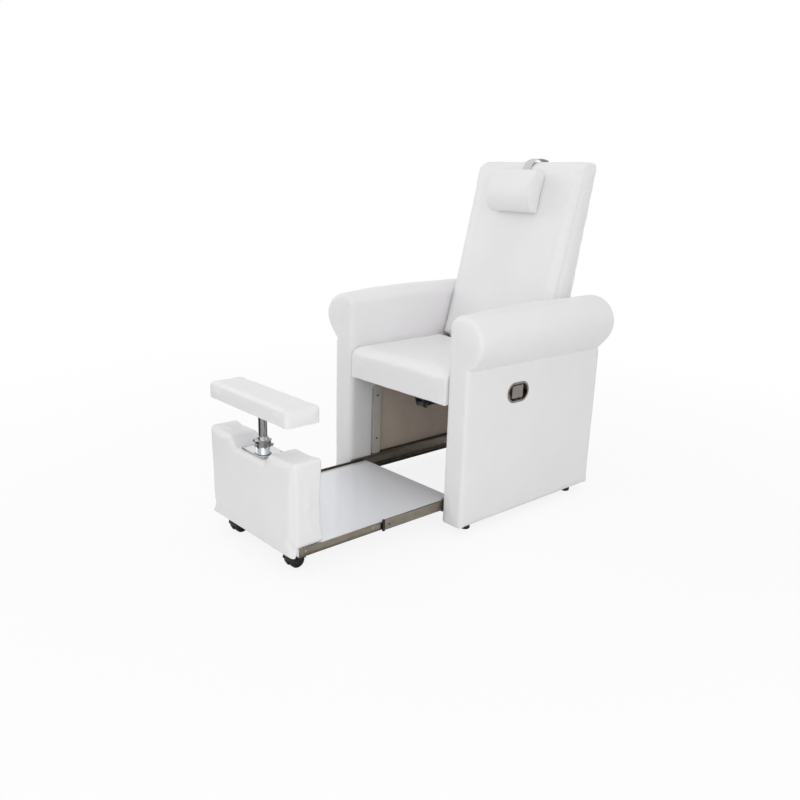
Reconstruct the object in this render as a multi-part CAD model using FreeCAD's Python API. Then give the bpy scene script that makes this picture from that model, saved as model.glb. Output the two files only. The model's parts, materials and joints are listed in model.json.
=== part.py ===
"""Pedicure spa chair: padded arms and seat, reclining back, pull-out foot box with a leg rest.

Frame: +Z up, +Y towards the back of the chair, +X towards the sitter's left, the side with the
release handle. The origin is on the floor under the middle of the whole object.
"""
import math
import os

import FreeCAD
import Part

V = FreeCAD.Vector
X_AXIS = V(1, 0, 0)
Z_AXIS = V(0, 0, 1)

# Chair body
FRONT = -72.0              # y of the arms' front faces; centres the whole chair on the origin
ARM_DEPTH = 746.0
ARM_OUT = 350.0            # half width over the arm panels
ARM_IN = 258.5             # half width between the arm panels
ARM_BOTTOM = 31.0
ARM_EDGE = 18.0            # softness of the arms' upright edges and of the rolls' ends
ROLL_SEAM = 583.0          # height where the padded roll meets the panel
ROLL_X = 309.0
ROLL_Z = 686.0
ROLL_R = 98.0
SKIN = 12.0                # foam and cover over the timber frame
POST = 128.0               # depth of the padded front post
REAR_POST = 126.0
RECESS_TOP = 395.0
BOARD = 18.0               # timber board thickness
RAIL_LOW = 45.0
RAIL_TOP = 108.0
LINING = 4.0
BATTEN = 35.0
SCREW_HEIGHTS = (171.0, 350.0)
REAR_PANEL_T = 22.0
REAR_PANEL_LOW = 60.0
REAR_PANEL_TOP = 540.0

# Seat
SEAT_UNDER = 448.0
SEAT_TOP = 557.0
SEAT_CROWN = 8.0
SEAT_HALF = 255.5
SEAT_BACK = 470.0          # depth of the seat cushion from the arms' front
SEAT_EDGE = 16.0           # roundness of its upper front edge
PLY = 12.0
SEAT_PLY_HALF = 250.0
SEAT_PLY_Y = (FRONT + 40.0, FRONT + 462.0)

# Steel frame under the seat, out of sight behind the cushion's front edge
FRAME_FRONT = FRONT + 150.0
FRAME_BACK = FRONT + 640.0
FRAME_OUT = 252.0          # half width over the side tubes
TUBE_W = 20.0
TUBE_H = 30.0
TUBE_WALL = 2.0
BAR_W = 30.0               # flat cross bars
BAR_T = 8.0
LUG_PLACES = (160.0, 400.0, 590.0)   # lugs to the arms, behind the arms' fronts
LUG_L = 40.0
REAR_BAR = FRONT + 425.0
HINGE_EAR_R = 24.0
TONGUE_T = 6.0             # plate that carries the front of the gas spring
TONGUE_HALF = 28.0

# Reclining back, turning about PIVOT
PIVOT_Y = FRONT + 575.0
PIVOT_Z = 500.0
BACK_TILT = math.radians(14.63)      # front face from the vertical, as photographed
BACK_TAPER = 0.082                   # loss of thickness per unit of height
BACK_FRONT = 98.7                    # pivot to the front face
BACK_REAR = 50.0                     # pivot to the rear face
BACK_BOARD = 32.2                    # pivot to the plywood's rear face
BACK_TOP = 756.0
BACK_HALF = 255.5
BACK_CROWN = 8.0
BACK_EDGE = 22.0                     # softness of its front edges
NECK_HALF = 212.0                    # narrow foot of the pad between the hinges
NECK_TOP = 62.0
BOARD_HALF = 222.0                   # the back's plywood
BOARD_UP = (74.0, 722.0)
COVER_HALF = 236.0                   # the rear panel over it
COVER_UP = (68.0, 734.0)
PIN_R = 6.0
PIN_LENGTH = 20.0
PIN_X = 232.0                        # middle of a hinge pin
EAR_X = 234.0                        # inner face of the hinge ears
EAR_T = 6.0
RUN_FIT = 0.05                       # radial clearance of a pin or shaft that turns
SIDE_BAR_X = 224.0                   # inner face of the flat bars up the back
SIDE_BAR_T = 6.0
SIDE_BAR_R = 20.0                    # half width of the bars
SIDE_BAR_TOP = 380.0
CROSS_LOW = -72.0                    # foot of the bars and of the cross bar between them
CROSS_R = 10.0                       # half width of the cross bar
LEVER_T = 5.0
LEVER_HALF = 18.0                    # half width over the lever's two plates
LEVER_R = 90.0
LEVER_ANGLE = math.radians(30.0)
GAS_X = 85.0
GAS_FRONT_Y = FRONT + 62.0
GAS_FRONT_Z = 410.0
GAS_EAR = 20.0             # half width over the ears of its front bolt
GAS_EAR_T = 4.0
GAS_EAR_R = 12.0
BOLT_R = 4.0
EYE_PLAY = 3.2             # the rod's eye is this much wider than its pin, all round
CYLINDER_R = 13.0
CYLINDER_LENGTH = 290.0
ROD_R = 5.0
TRIGGER_PIN_R = 2.0

# Pillow
PILLOW_LENGTH = 214.0
PILLOW_LOW = 559.0
PILLOW_HIGH = 722.0
PILLOW_DEPTH = 80.0
STRAP_W = 40.0
STRAP_T = 2.5
STRAP_LOW = 600.0          # how far down both faces of the back the strap reaches
STRAP_BEND = 735.0         # where it leaves them to go over the top

# Pull-out shelf and foot box, photographed fully out
SHELF_HALF = 245.8
SHELF_FRONT = FRONT - 586.0
SHELF_BACK = FRONT + 79.0
SHELF_LOW = 71.0
SHELF_TOP = 95.0
BOX_HALF = 249.5
BOX_FOOT = 6.0             # height of the box's drawn-in foot, which clears the slides
BOX_FRONT = FRONT - 600.0
BOX_BACK = FRONT - 500.0
BOX_TOP = 368.0
APRON_LOW = 67.0
APRON_T = 14.0
NOTCH_TOP = 120.0          # half width of the notch at the top of the box
NOTCH_FLOOR = 86.0         # half width of its flat floor
NOTCH_Z = 336.0
BOX_SKIN = 10.0

# Drawer slides, 45 mm class, full extension
SLIDE_Z = 85.0
SLIDE_OUT_H = 45.6
SLIDE_MID_H = 36.0
SLIDE_IN_H = 26.0
SLIDE_T = 1.4
SLIDE_LENGTH = 600.0
SLIDE_MID_LENGTH = 550.0
SLIDE_HOLES = (26.0, 292.0, 560.0)   # screw holes, from a member's front end
MID_HOLE = 18.0            # rivet hole, from either end of the middle member
BUFFER_H = 39.0
BUFFER_SLOT = 27.6         # gap in the buffer that the inner member passes

# Leg rest
POST_Y = FRONT - 550.0
POST_R = 14.0
POST_LENGTH = 285.0
PLATE_L = 126.0
PLATE_W = 84.0
PLATE_T = 4.0
NECK_R = 18.0
NECK_Z = 385.0
BOSS_R = 22.0              # step under the clamp ring
BOSS_H = 12.0
SLEEVE_R = 17.0            # socket tube inside the foot box
REST_LENGTH = 450.0
REST_DEPTH = 124.0
REST_LOW = 474.0
REST_HIGH = 523.0
REST_CROWN = 5.0
REST_PLY_X = 205.0         # half length and half width of the plywood in the pad
REST_PLY_Y = 46.0
FLANGE_R = 42.0            # disc on the post, under the plywood
FLANGE_T = 3.0
PLATE_HOLE = (11.0, 10.0)  # screw holes, in from the plate's ends and sides
RING_SPOKES = 4
RING_R = 25.5
RING_H = 22.0

# Casters and feet
CASTER_X = 165.0
CASTER_Y = FRONT - 563.0
CASTER_TRAIL = 16.0
WHEEL_R = 25.0
WHEEL_W = 18.0
WEB_W = 10.0
AXLE_R = 4.0
STEM_R = 5.5
CASTER_PLATE = 42.0
HOOD_GAP = 1.2
HOOD_T = 2.3
FOOT_X = 304.0
FOOT_Y = 83.0
FOOT_R = 17.0

# Release handle in the right arm
CUP_Y = FRONT + 267.0
CUP_Z = 478.0
CUP_LENGTH = 113.0
CUP_HEIGHT = 73.0
CUP_DEPTH = 27.0
CUP_WALL = 2.0
CUP_RIM = 5.0              # width of the flange round the cup
PADDLE_PIN_R = 2.0
PADDLE_HALF = 22.0         # half height
PADDLE_REACH = 56.0        # from its pin to its free end
PADDLE_T = 3.5


def box(x0, x1, y0, y1, z0, z1):
    """A block between two corners."""
    return Part.makeBox(x1 - x0, y1 - y0, z1 - z0, V(x0, y0, z0))


def rod(radius, length, base, axis):
    """A round bar."""
    return Part.makeCylinder(radius, length, base, axis)


def tube(outer, inner, length, base, axis):
    """A round bar with a bore."""
    return rod(outer, length, base, axis).cut(rod(inner, length, base, axis))


def fused(shapes):
    """One solid from shapes that touch."""
    shapes = list(shapes)
    return shapes[0].multiFuse(shapes[1:]).removeSplitter()


def mirrored(shape):
    """The same piece on the other side of the chair."""
    return shape.mirror(V(0, 0, 0), X_AXIS)


def outline(start, steps, place):
    """A closed wire. A step is an end point, or a pair of mid point and end point of an arc."""
    edges = []
    here = start
    for step in steps:
        if isinstance(step[0], tuple):
            mid, end = step
            edges.append(Part.Arc(place(here), place(mid), place(end)).toShape())
        else:
            end = step
            edges.append(Part.makeLine(place(here), place(end)))
        here = end
    return Part.Wire(edges)


def rounded(u0, u1, v0, v1, r, place, crown=0.0, bulge=0.0, r_low=None):
    """A rectangle with round corners, whose far side (v1) may be crowned and ends bulged."""
    low = r if r_low is None else r_low
    k = 1 - math.sqrt(0.5)
    um, vm = (u0 + u1) / 2, (v0 + v1) / 2
    right = ((u1 + bulge, vm), (u1, v1 - r)) if bulge else (u1, v1 - r)
    left = ((u0 - bulge, vm), (u0, v0 + low)) if bulge else (u0, v0 + low)
    far = ((um, v1 + crown), (u0 + r, v1)) if crown else (u0 + r, v1)
    steps = [
        (u1 - low, v0),
        ((u1 - low * k, v0 + low * k), (u1, v0 + low)),
        right,
        ((u1 - r * k, v1 - r * k), (u1 - r, v1)),
        far,
        ((u0 + r * k, v1 - r * k), (u0, v1 - r)),
        left,
        ((u0 + low * k, v0 + low * k), (u0 + low, v0)),
    ]
    return outline((u0 + low, v0), steps, place)


def prism(wire, travel):
    """A flat outline pushed along a vector."""
    return Part.Face(wire).extrude(travel)


def in_plan(z):
    return lambda p: V(p[0], p[1], z)


def in_front(y):
    return lambda p: V(p[0], y, p[1])


def in_side(x):
    return lambda p: V(x, p[0], p[1])


def loft(wires):
    """A solid stretched over closed outlines."""
    return Part.makeLoft(wires, True, True)


def end_stations(half, radius):
    """Places along a cushion from end to end, each with how far its outline is drawn in."""
    turns = [math.radians(30.0 * i) for i in range(4)]
    one_end = [(half - radius * (1 - math.cos(t)), radius * (1 - math.sin(t))) for t in turns]
    inner = [(half * part, 0.0) for part in (0.5, 0.0, -0.5)]
    other_end = [(-s, d) for s, d in reversed(one_end)]
    return one_end + inner + other_end


def arm_block():
    """The plain outer form of the right arm panel below its roll."""
    wire = rounded(ARM_IN, ARM_OUT, FRONT, FRONT + ARM_DEPTH, ARM_EDGE, in_plan(ARM_BOTTOM))
    return prism(wire, V(0, 0, ROLL_SEAM - ARM_BOTTOM))


def arm_recess():
    """The shallow bay in the arm's inner side, with the soft edge of the padded front post."""
    y0, y1 = FRONT + POST, FRONT + ARM_DEPTH - REAR_POST
    depth = ARM_OUT - 20.0
    soft = 15.0
    k = 1 - math.sqrt(0.5)
    steps = [(depth, y0), (depth, y1), (ARM_IN - 1, y1), (ARM_IN - 1, y0 - soft),
             (ARM_IN, y0 - soft), ((ARM_IN + soft * k, y0 - soft * k), (ARM_IN + soft, y0))]
    wire = outline((ARM_IN + soft, y0), steps, in_plan(ARM_BOTTOM))
    return prism(wire, V(0, 0, RECESS_TOP - ARM_BOTTOM))


def arm_frame():
    """Timber inside the arm, and the space it fills: boxed posts, a beam and a side board."""
    x0, x1 = ARM_IN + SKIN, ARM_OUT - SKIN
    y0, y1 = FRONT + SKIN, FRONT + ARM_DEPTH - SKIN
    post_y, rear_y = FRONT + POST - SKIN - 8, FRONT + ARM_DEPTH - REAR_POST + SKIN
    beam_z = RECESS_TOP + SKIN
    side = box(x1 - PLY, x1, y0 + 20, y1 - 20, ARM_BOTTOM + SKIN, ROLL_SEAM)
    envelope = fused([
        box(x0, x1, y0, post_y, ARM_BOTTOM, ROLL_SEAM),
        box(x0, x1, rear_y, y1, ARM_BOTTOM, ROLL_SEAM),
        box(x0, x1, y0 + 20, y1 - 20, beam_z, ROLL_SEAM),
        side,
    ])
    hollows = [
        box(x0 + PLY, x1 - PLY, y0 + BOARD, post_y - BOARD, ARM_BOTTOM + BOARD, beam_z - 1),
        box(x0 + PLY, x1 - PLY, rear_y + BOARD, y1 - BOARD, ARM_BOTTOM + BOARD, beam_z - 1),
        box(x0 + PLY, x1 - PLY, y0 + BOARD + 20, y1 - BOARD - 20, beam_z + BOARD, ROLL_SEAM - BOARD),
    ]
    return envelope.cut(Part.makeCompound(hollows)), envelope


def stadium(y, z, length, height, x, depth):
    """An oval block lying on its side, its flat faces square to X."""
    half = (length - height) / 2
    r = height / 2
    steps = [(y + half, z - r), ((y + half + r, z), (y + half, z + r)), (y - half, z + r),
             ((y - half - r, z), (y - half, z - r))]
    return prism(outline((y - half, z - r), steps, in_side(x)), V(depth, 0, 0))


def cup_pocket():
    """The oval hole that the release cup sits in."""
    return cup_oval(CUP_RIM, 0.0, CUP_DEPTH + 5)


def cup_oval(inset, floor, depth):
    """An oval block in the cup's place, inset all round and floor above the cup's deepest point."""
    return stadium(CUP_Y, CUP_Z, CUP_LENGTH - 2 * inset, CUP_HEIGHT - 2 * inset,
                   ARM_OUT - CUP_DEPTH + floor, depth)


def make_arms(parts):
    """Covers, timber frames and padded rolls of both arms."""
    frame, envelope = arm_frame()
    cover = arm_block().cut(arm_recess()).cut(envelope)
    parts["arm_cover_left"] = mirrored(cover)
    parts["arm_frame_left"] = mirrored(frame)
    parts["arm_cover_right"] = cover.cut(cup_pocket())
    parts["arm_frame_right"] = frame.cut(cup_pocket())
    roll = arm_roll()
    parts["arm_roll_right"] = roll
    parts["arm_roll_left"] = mirrored(roll)


def roll_section(y, inset):
    """Outline of the arm roll: flat against the sitter, round on top and outside."""
    width, height = ROLL_R - 24, ROLL_Z + ROLL_R - ROLL_SEAM
    sx, sz = 1 - inset / width, 1 - inset / height

    def place(p):
        return V(ROLL_X + (p[0] - ROLL_X) * sx, y, ROLL_SEAM + (p[1] - ROLL_SEAM) * sz)

    def rim(degrees):
        a = math.radians(degrees)
        return (ROLL_X + ROLL_R * math.cos(a), ROLL_Z + ROLL_R * math.sin(a))

    neck = (ARM_OUT, ROLL_SEAM)
    steps = [neck, (rim(-35), rim(-5)), (rim(45), rim(100)),
             ((ARM_IN + 8, ROLL_Z + 81), (ARM_IN, ROLL_Z + 52)), (ARM_IN, ROLL_SEAM)]
    return outline((ARM_IN, ROLL_SEAM), steps, place)


def arm_roll():
    """The padded roll along the top of the right arm."""
    middle = FRONT + ARM_DEPTH / 2
    wires = [roll_section(middle + s, d) for s, d in end_stations(ARM_DEPTH / 2, ARM_EDGE)]
    return loft(wires)


def make_inner_sides(parts):
    """Lining panel, its front batten, the slide rail board and the batten's screws."""
    y0, y1 = FRONT + POST, FRONT + ARM_DEPTH - REAR_POST
    batten = box(ARM_IN, ARM_IN + BOARD, y0, y0 + BATTEN, RAIL_TOP, RECESS_TOP)
    rail = box(ARM_IN, ARM_IN + BOARD, y0, y1, RAIL_LOW, RAIL_TOP)
    lining = box(ARM_IN + BOARD, ARM_IN + BOARD + LINING, y0, y1, RAIL_LOW, RECESS_TOP)
    screws = []
    for height in SCREW_HEIGHTS:
        at = V(ARM_IN, y0 + BATTEN / 2, height)
        shank = rod(2.0, 12.0, at, X_AXIS)
        batten = batten.cut(shank)
        screws.append(shank.fuse(rod(3.8, 1.6, at.sub(V(1.6, 0, 0)), X_AXIS)))
    pieces = {"lining_batten": batten, "slide_board": rail, "inner_lining": lining}
    for name, shape in pieces.items():
        parts[name + "_right"] = shape
        parts[name + "_left"] = mirrored(shape)
    parts["batten_screws"] = Part.makeCompound(screws + [mirrored(s) for s in screws])


def turned(points, base, axis=Z_AXIS):
    """A turned part from its half profile: (radius, height) points, on an upright axis or along X."""
    place = (lambda p: V(p[0], 0, p[1])) if axis == Z_AXIS else (lambda p: V(p[1], 0, p[0]))
    solid = Part.Face(outline(points[0], points[1:] + points[:1], place)).revolve(V(0, 0, 0), axis, 360)
    solid.translate(base)
    return solid


def make_feet(parts):
    """Four round plastic glides under the arm posts."""
    profile = [(0, 0), (FOOT_R - 2, 0), (FOOT_R, 3.0), (FOOT_R, 22.0), (FOOT_R - 4, ARM_BOTTOM),
               (0, ARM_BOTTOM)]
    for side, sign in (("left", -1), ("right", 1)):
        for end, y in (("front", FRONT + FOOT_Y), ("back", FRONT + ARM_DEPTH - FOOT_Y)):
            parts["foot_%s_%s" % (end, side)] = turned(profile, V(sign * FOOT_X, y, 0))


def make_rear_panel(parts):
    """Upholstered panel that closes the base behind the drawer bay and ties the arms."""
    y0 = FRONT + ARM_DEPTH - REAR_PANEL_T - 2.0
    half = ARM_IN - 0.5
    wire = rounded(-half, half, REAR_PANEL_LOW, REAR_PANEL_TOP, 10.0, in_front(y0))
    parts["rear_panel"] = prism(wire, V(0, REAR_PANEL_T, 0))


def bent_strip(start, heading, half_way, place):
    """Section of a rolled sheet part, symmetric about its web.

    half_way lists the moves along the middle line from one lip to the middle of the web:
    a number is a straight run, a pair is a bend (radius, degrees).
    """
    edges = []
    sides = (SLIDE_T / 2, -SLIDE_T / 2)
    ends = []
    x, y, a = start[0], start[1], math.radians(heading)

    def add(points):
        points = [place(p) for p in points]
        edges.append(Part.makeLine(*points) if len(points) == 2 else Part.Arc(*points).toShape())

    def beside(side):
        return (x - side * math.sin(a), y + side * math.cos(a))

    ends.append([beside(side) for side in sides])
    for move in half_way + half_way[::-1]:
        if isinstance(move, tuple):
            radius, turn = move[0], math.radians(move[1])
            way = math.copysign(1.0, turn)
            cx, cy = x - way * radius * math.sin(a), y + way * radius * math.cos(a)
            for side in sides:
                r = way * (radius - way * side)
                add([(cx + r * math.sin(b), cy - r * math.cos(b)) for b in (a, a + turn / 2, a + turn)])
            a += turn
            x, y = cx + way * radius * math.sin(a), cy - way * radius * math.cos(a)
        else:
            before = [beside(side) for side in sides]
            x, y = x + move * math.cos(a), y + move * math.sin(a)
            for side, first in zip(sides, before):
                add([first, beside(side)])
    ends.append([beside(side) for side in sides])
    for pair in ends:
        add(pair)
    return Part.Wire(Part.__sortEdges__(edges))


def in_slide(y):
    """Places section points of the right slide: how far in from the arm, and up from its middle."""
    return lambda p: V(ARM_IN - p[0], y, SLIDE_Z + p[1])


def make_slides(parts):
    """Outer, middle and inner members of both full-extension slides, cages and end buffers."""
    outer_y = FRONT + 14.0
    inner_y = outer_y - SLIDE_LENGTH
    middle_y = FRONT - 250.0
    t = SLIDE_T / 2
    high = SLIDE_OUT_H / 2 - t
    groove = [0.3, (1.8, 90), 2.6, (1.5, 30), (1.5, -30), 2.4, (2.5, 90), high - 0.4 - 2.5]
    outer = prism(bent_strip((11.5, high - 2.1), 90, groove, in_slide(outer_y)), V(0, SLIDE_LENGTH, 0))
    high = SLIDE_MID_H / 2 - t
    carrier = [0.2, (1.0, 90), 3.2, (2.0, 90), high - 2.0]
    middle = prism(bent_strip((10.1, high - 1.2), 90, carrier, in_slide(middle_y)),
                   V(0, SLIDE_MID_LENGTH, 0))
    high = SLIDE_IN_H / 2 - t
    runner = [3.9, (2.0, -90), high - 2.0]
    inner = prism(bent_strip((6.1, high), 0, runner, in_slide(inner_y)), V(0, SLIDE_LENGTH, 0))
    for y in (MID_HOLE, SLIDE_MID_LENGTH - MID_HOLE):
        middle = middle.cut(rod(3.5, 10.0, V(ARM_IN - 8, middle_y + y, SLIDE_Z), X_AXIS))
    for y in SLIDE_HOLES:
        inner = inner.cut(rod(2.6, 10.0, V(SHELF_HALF - 2, inner_y + y, SLIDE_Z), X_AXIS))
        outer = outer.cut(rod(2.6, 10.0, V(ARM_IN - 5, outer_y + y, SLIDE_Z), X_AXIS))
    cage, buffer = ball_cage(outer_y, middle_y)
    pieces = {"slide_outer": outer, "slide_middle": middle, "slide_inner": inner,
              "ball_cage": cage, "slide_buffer": buffer}
    for name, shape in pieces.items():
        parts[name + "_right"] = shape
        parts[name + "_left"] = mirrored(shape)


def ball_cage(outer_y, middle_y):
    """Steel strips that hold the balls between the members, and the black buffer at the front."""
    strips = []
    t = SLIDE_T / 2 - 0.1
    gap_in = (SLIDE_IN_H + SLIDE_MID_H - 2 * SLIDE_T) / 4
    gap_out = (SLIDE_MID_H + SLIDE_OUT_H - 2 * SLIDE_T) / 4
    for sign in (-1, 1):
        for z, deep, shallow, y, length in ((SLIDE_Z + sign * gap_in, 9.2, 6.2, middle_y, 110.0),
                                            (SLIDE_Z + sign * gap_out, 9.6, 6.8, outer_y, 250.0)):
            strips.append(box(ARM_IN - deep, ARM_IN - shallow, y + 4, y + length, z - t, z + t))
    wire = rounded(ARM_IN - 10.9, ARM_IN - 2.2, middle_y - 9, middle_y, 2.0,
                   in_plan(SLIDE_Z - BUFFER_H / 2), r_low=3.5)
    slot = box(ARM_IN - 11, ARM_IN - 5.4, middle_y - 10, middle_y,
               SLIDE_Z - BUFFER_SLOT / 2, SLIDE_Z + BUFFER_SLOT / 2)
    return Part.makeCompound(strips), prism(wire, V(0, 0, BUFFER_H)).cut(slot)


def seat_section(x, inset):
    """Side outline of the seat cushion: round front edge, crowned top, slanted back."""
    draw = 1.5 * (1 - (x / SEAT_HALF) ** 2)
    y0, y1 = FRONT + 0.5 + inset * 0.3 + draw, FRONT + SEAT_BACK
    z0, z1 = SEAT_UNDER + inset * 0.3, SEAT_TOP - inset + 4.0 * (1 - (x / SEAT_HALF) ** 2)
    r = SEAT_EDGE
    k = 1 - math.sqrt(0.5)
    steps = [(y1, z0), (y1 + 2, PIVOT_Z + 20), (y1 + 9, z1 - 12), ((y1 + 5, z1), (y1 - 10, z1 + 4)),
             (((y0 + y1) / 2, z1 + SEAT_CROWN), (y0 + r, z1)),
             ((y0 + r * k, z1 - r * k), (y0, z1 - r)),
             ((y0 - 2.0, (z0 + z1) / 2), (y0, z0 + 5)),
             ((y0 + 1.5, z0 + 1.5), (y0 + 5, z0))]
    return outline((y0 + 5, z0), steps, in_side(x))


def make_seat(parts):
    """Seat cushion, its plywood, the welded frame between the arms, and the pins it carries."""
    wires = [seat_section(x, d) for x, d in end_stations(SEAT_HALF, 12.0)]
    parts["seat_cushion"] = loft(wires)
    parts["seat_board"] = box(-SEAT_PLY_HALF, SEAT_PLY_HALF, *SEAT_PLY_Y, SEAT_UNDER - PLY, SEAT_UNDER)
    parts["seat_frame"] = seat_frame()
    pins = [rod(PIN_R, PIN_LENGTH, V(side * PIN_X - PIN_LENGTH / 2, PIVOT_Y, PIVOT_Z), X_AXIS)
            for side in (-1, 1)]
    nut_t, head_t = 6.5, 5.5
    shank = rod(BOLT_R, 2 * GAS_EAR + nut_t, V(GAS_X - GAS_EAR - nut_t, GAS_FRONT_Y, GAS_FRONT_Z), X_AXIS)
    nut = hexagon(nut_t, V(GAS_X - GAS_EAR - nut_t, GAS_FRONT_Y, GAS_FRONT_Z))
    head = hexagon(head_t, V(GAS_X + GAS_EAR, GAS_FRONT_Y, GAS_FRONT_Z))
    pins.append(fused([shank, nut, head]))
    parts["hinge_pins"] = Part.makeCompound(pins)


def hexagon(thickness, base, across=13.0):
    """A bolt head or nut with its flat faces square to X."""
    reach = across / math.sqrt(3)
    turns = [math.radians(60.0 * i) for i in range(6)]
    points = [(base.y + reach * math.cos(t), base.z + reach * math.sin(t)) for t in turns]
    return prism(outline(points[0], points[1:] + points[:1], in_side(base.x)), V(thickness, 0, 0))


def seat_frame():
    """Two side tubes, two cross bars, hinge ears, and the tongue with the gas spring's front ears."""
    top = SEAT_UNDER - PLY
    low = top - TUBE_H
    inner = FRAME_OUT - TUBE_W
    tongue = rounded(GAS_X - TONGUE_HALF, GAS_X + TONGUE_HALF, GAS_FRONT_Y - 20, FRAME_FRONT + BAR_W / 2,
                     8.0, in_plan(top - TONGUE_T))
    pieces = [box(-inner, inner, FRAME_FRONT, FRAME_FRONT + BAR_W, top - BAR_T, top),
              box(-inner, inner, REAR_BAR, REAR_BAR + BAR_W, top - BAR_T, top),
              prism(tongue, V(0, 0, TONGUE_T))]
    hollow = []
    for side in (-1, 1):
        x0, x1 = sorted((side * inner, side * FRAME_OUT))
        pieces.append(box(x0, x1, FRAME_FRONT, FRAME_BACK, low, top))
        hollow.append(box(x0 + TUBE_WALL, x1 - TUBE_WALL, FRAME_FRONT - 1, FRAME_BACK + 1,
                          low + TUBE_WALL, top - TUBE_WALL))
        x0, x1 = sorted((side * FRAME_OUT, side * ARM_IN))
        for y in LUG_PLACES:
            pieces.append(box(x0, x1, FRONT + y, FRONT + y + LUG_L, low, top))
        x0 = EAR_X if side > 0 else -EAR_X - EAR_T
        pieces.append(ear(PIVOT_Y, PIVOT_Z, HINGE_EAR_R, top, (-40.0, 48.0), x0, EAR_T))
    frame = fused(pieces).cut(Part.makeCompound(hollow))
    ears = [ear(GAS_FRONT_Y, GAS_FRONT_Z, GAS_EAR_R, top - TONGUE_T, (-18.0, 30.0), x, GAS_EAR_T)
            for x in (GAS_X - GAS_EAR, GAS_X + GAS_EAR - GAS_EAR_T)]
    middle = EAR_X + EAR_T / 2
    bores = [rod(PIN_R, 30.0, V(side * middle - 15, PIVOT_Y, PIVOT_Z), X_AXIS) for side in (-1, 1)]
    bores.append(rod(BOLT_R, 2 * GAS_EAR, V(GAS_X - GAS_EAR, GAS_FRONT_Y, GAS_FRONT_Z), X_AXIS))
    return frame.multiFuse(ears).cut(Part.makeCompound(bores))


def ear(y, z, r, foot, reach, x, thickness):
    """A plate that stands on the level foot or hangs from it, and is round about the pin at y, z."""
    tip = z + math.copysign(r, z - foot)
    y0, y1 = y + reach[0], y + reach[1]
    steps = [(y1, foot), (y + r, z), ((y, tip), (y - r, z)), (y0, foot)]
    return prism(outline((y0, foot), steps, in_side(x)), V(thickness, 0, 0))


def back_point(x, d, w, tilt=BACK_TILT):
    """A point of the reclining back: d behind the pivot, w up along the back."""
    return V(x, PIVOT_Y + d * math.cos(tilt) + w * math.sin(tilt),
             PIVOT_Z - d * math.sin(tilt) + w * math.cos(tilt))


def back_section(w, draw):
    """Cross outline of the back pad at height w, drawn in by draw at the top and foot."""
    front = -BACK_FRONT
    if w < 0:
        front = -math.sqrt(BACK_FRONT ** 2 - w ** 2)
    rear = BACK_REAR - BACK_TAPER * w
    half = BACK_HALF - 2.0 * math.sin(math.pi * max(w, 0) / BACK_TOP) - draw
    front, rear = front + draw * 0.6, rear - draw * 0.35
    crown = BACK_CROWN * max(0.0, min(1.0, (BACK_TOP - w) / 60.0, (w - 40.0) / 80.0))

    def place(p):
        return back_point(p[0], -p[1], w)

    return rounded(-half, half, -rear, -front, BACK_EDGE, place, crown=crown, r_low=7.0)


def back_frame_bar(x, grow=0.0):
    """Flat steel bar from the pivot up the side of the back, round at its foot."""
    tilt = BACK_TILT - math.atan(BACK_TAPER)
    r = SIDE_BAR_R + grow
    low, high = CROSS_LOW - grow, SIDE_BAR_TOP + grow

    def place(p):
        return back_point(x - grow, p[0], p[1], tilt)

    wire = rounded(-r, r, low, high, 18.0, place)
    return prism(wire, V(SIDE_BAR_T + 2 * grow, 0, 0))


def lever_end():
    """Where the gas spring's rod meets the lever of the back."""
    y, z = LEVER_R * math.sin(LEVER_ANGLE), LEVER_R * math.cos(LEVER_ANGLE)
    return V(GAS_X, PIVOT_Y + y, PIVOT_Z - z)


def back_frame():
    """Side bars, the cross tube below the pad and the lever for the gas spring."""
    tilt = BACK_TILT - math.atan(BACK_TAPER)
    bars = [back_frame_bar(SIDE_BAR_X), back_frame_bar(-SIDE_BAR_X - SIDE_BAR_T)]
    high = CROSS_LOW + 2 * CROSS_R
    corners = [(-CROSS_R, CROSS_LOW), (CROSS_R, CROSS_LOW), (CROSS_R, high), (-CROSS_R, high)]
    wire = outline(corners[0], corners[1:] + corners[:1],
                   lambda p: back_point(-SIDE_BAR_X, p[0], p[1], tilt))
    cross = prism(wire, V(2 * SIDE_BAR_X, 0, 0))
    end = lever_end()
    root = back_point(0, 0, CROSS_LOW + CROSS_R, tilt)
    levers = []
    for x in (GAS_X - LEVER_HALF, GAS_X + LEVER_HALF - LEVER_T):
        steps = [(end.y - 10, end.z - 4), ((end.y, end.z - 11), (end.y + 10, end.z - 4)),
                 (root.y + 24, root.z + 4), (root.y - 8, root.z + 4), (root.y - 8, root.z - 6)]
        wire = outline((root.y - 8, root.z - 6), steps, in_side(x))
        levers.append(prism(wire, V(LEVER_T, 0, 0)))
    frame = fused(bars + [cross] + levers)
    for x in (-SIDE_BAR_X - 16, SIDE_BAR_X - 24):
        frame = frame.cut(rod(PIN_R + RUN_FIT, 40.0, V(x, PIVOT_Y, PIVOT_Z), X_AXIS))
    pin = rod(BOLT_R, 2 * LEVER_HALF, V(GAS_X - LEVER_HALF, end.y, end.z), X_AXIS)
    return frame.fuse(pin)


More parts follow.
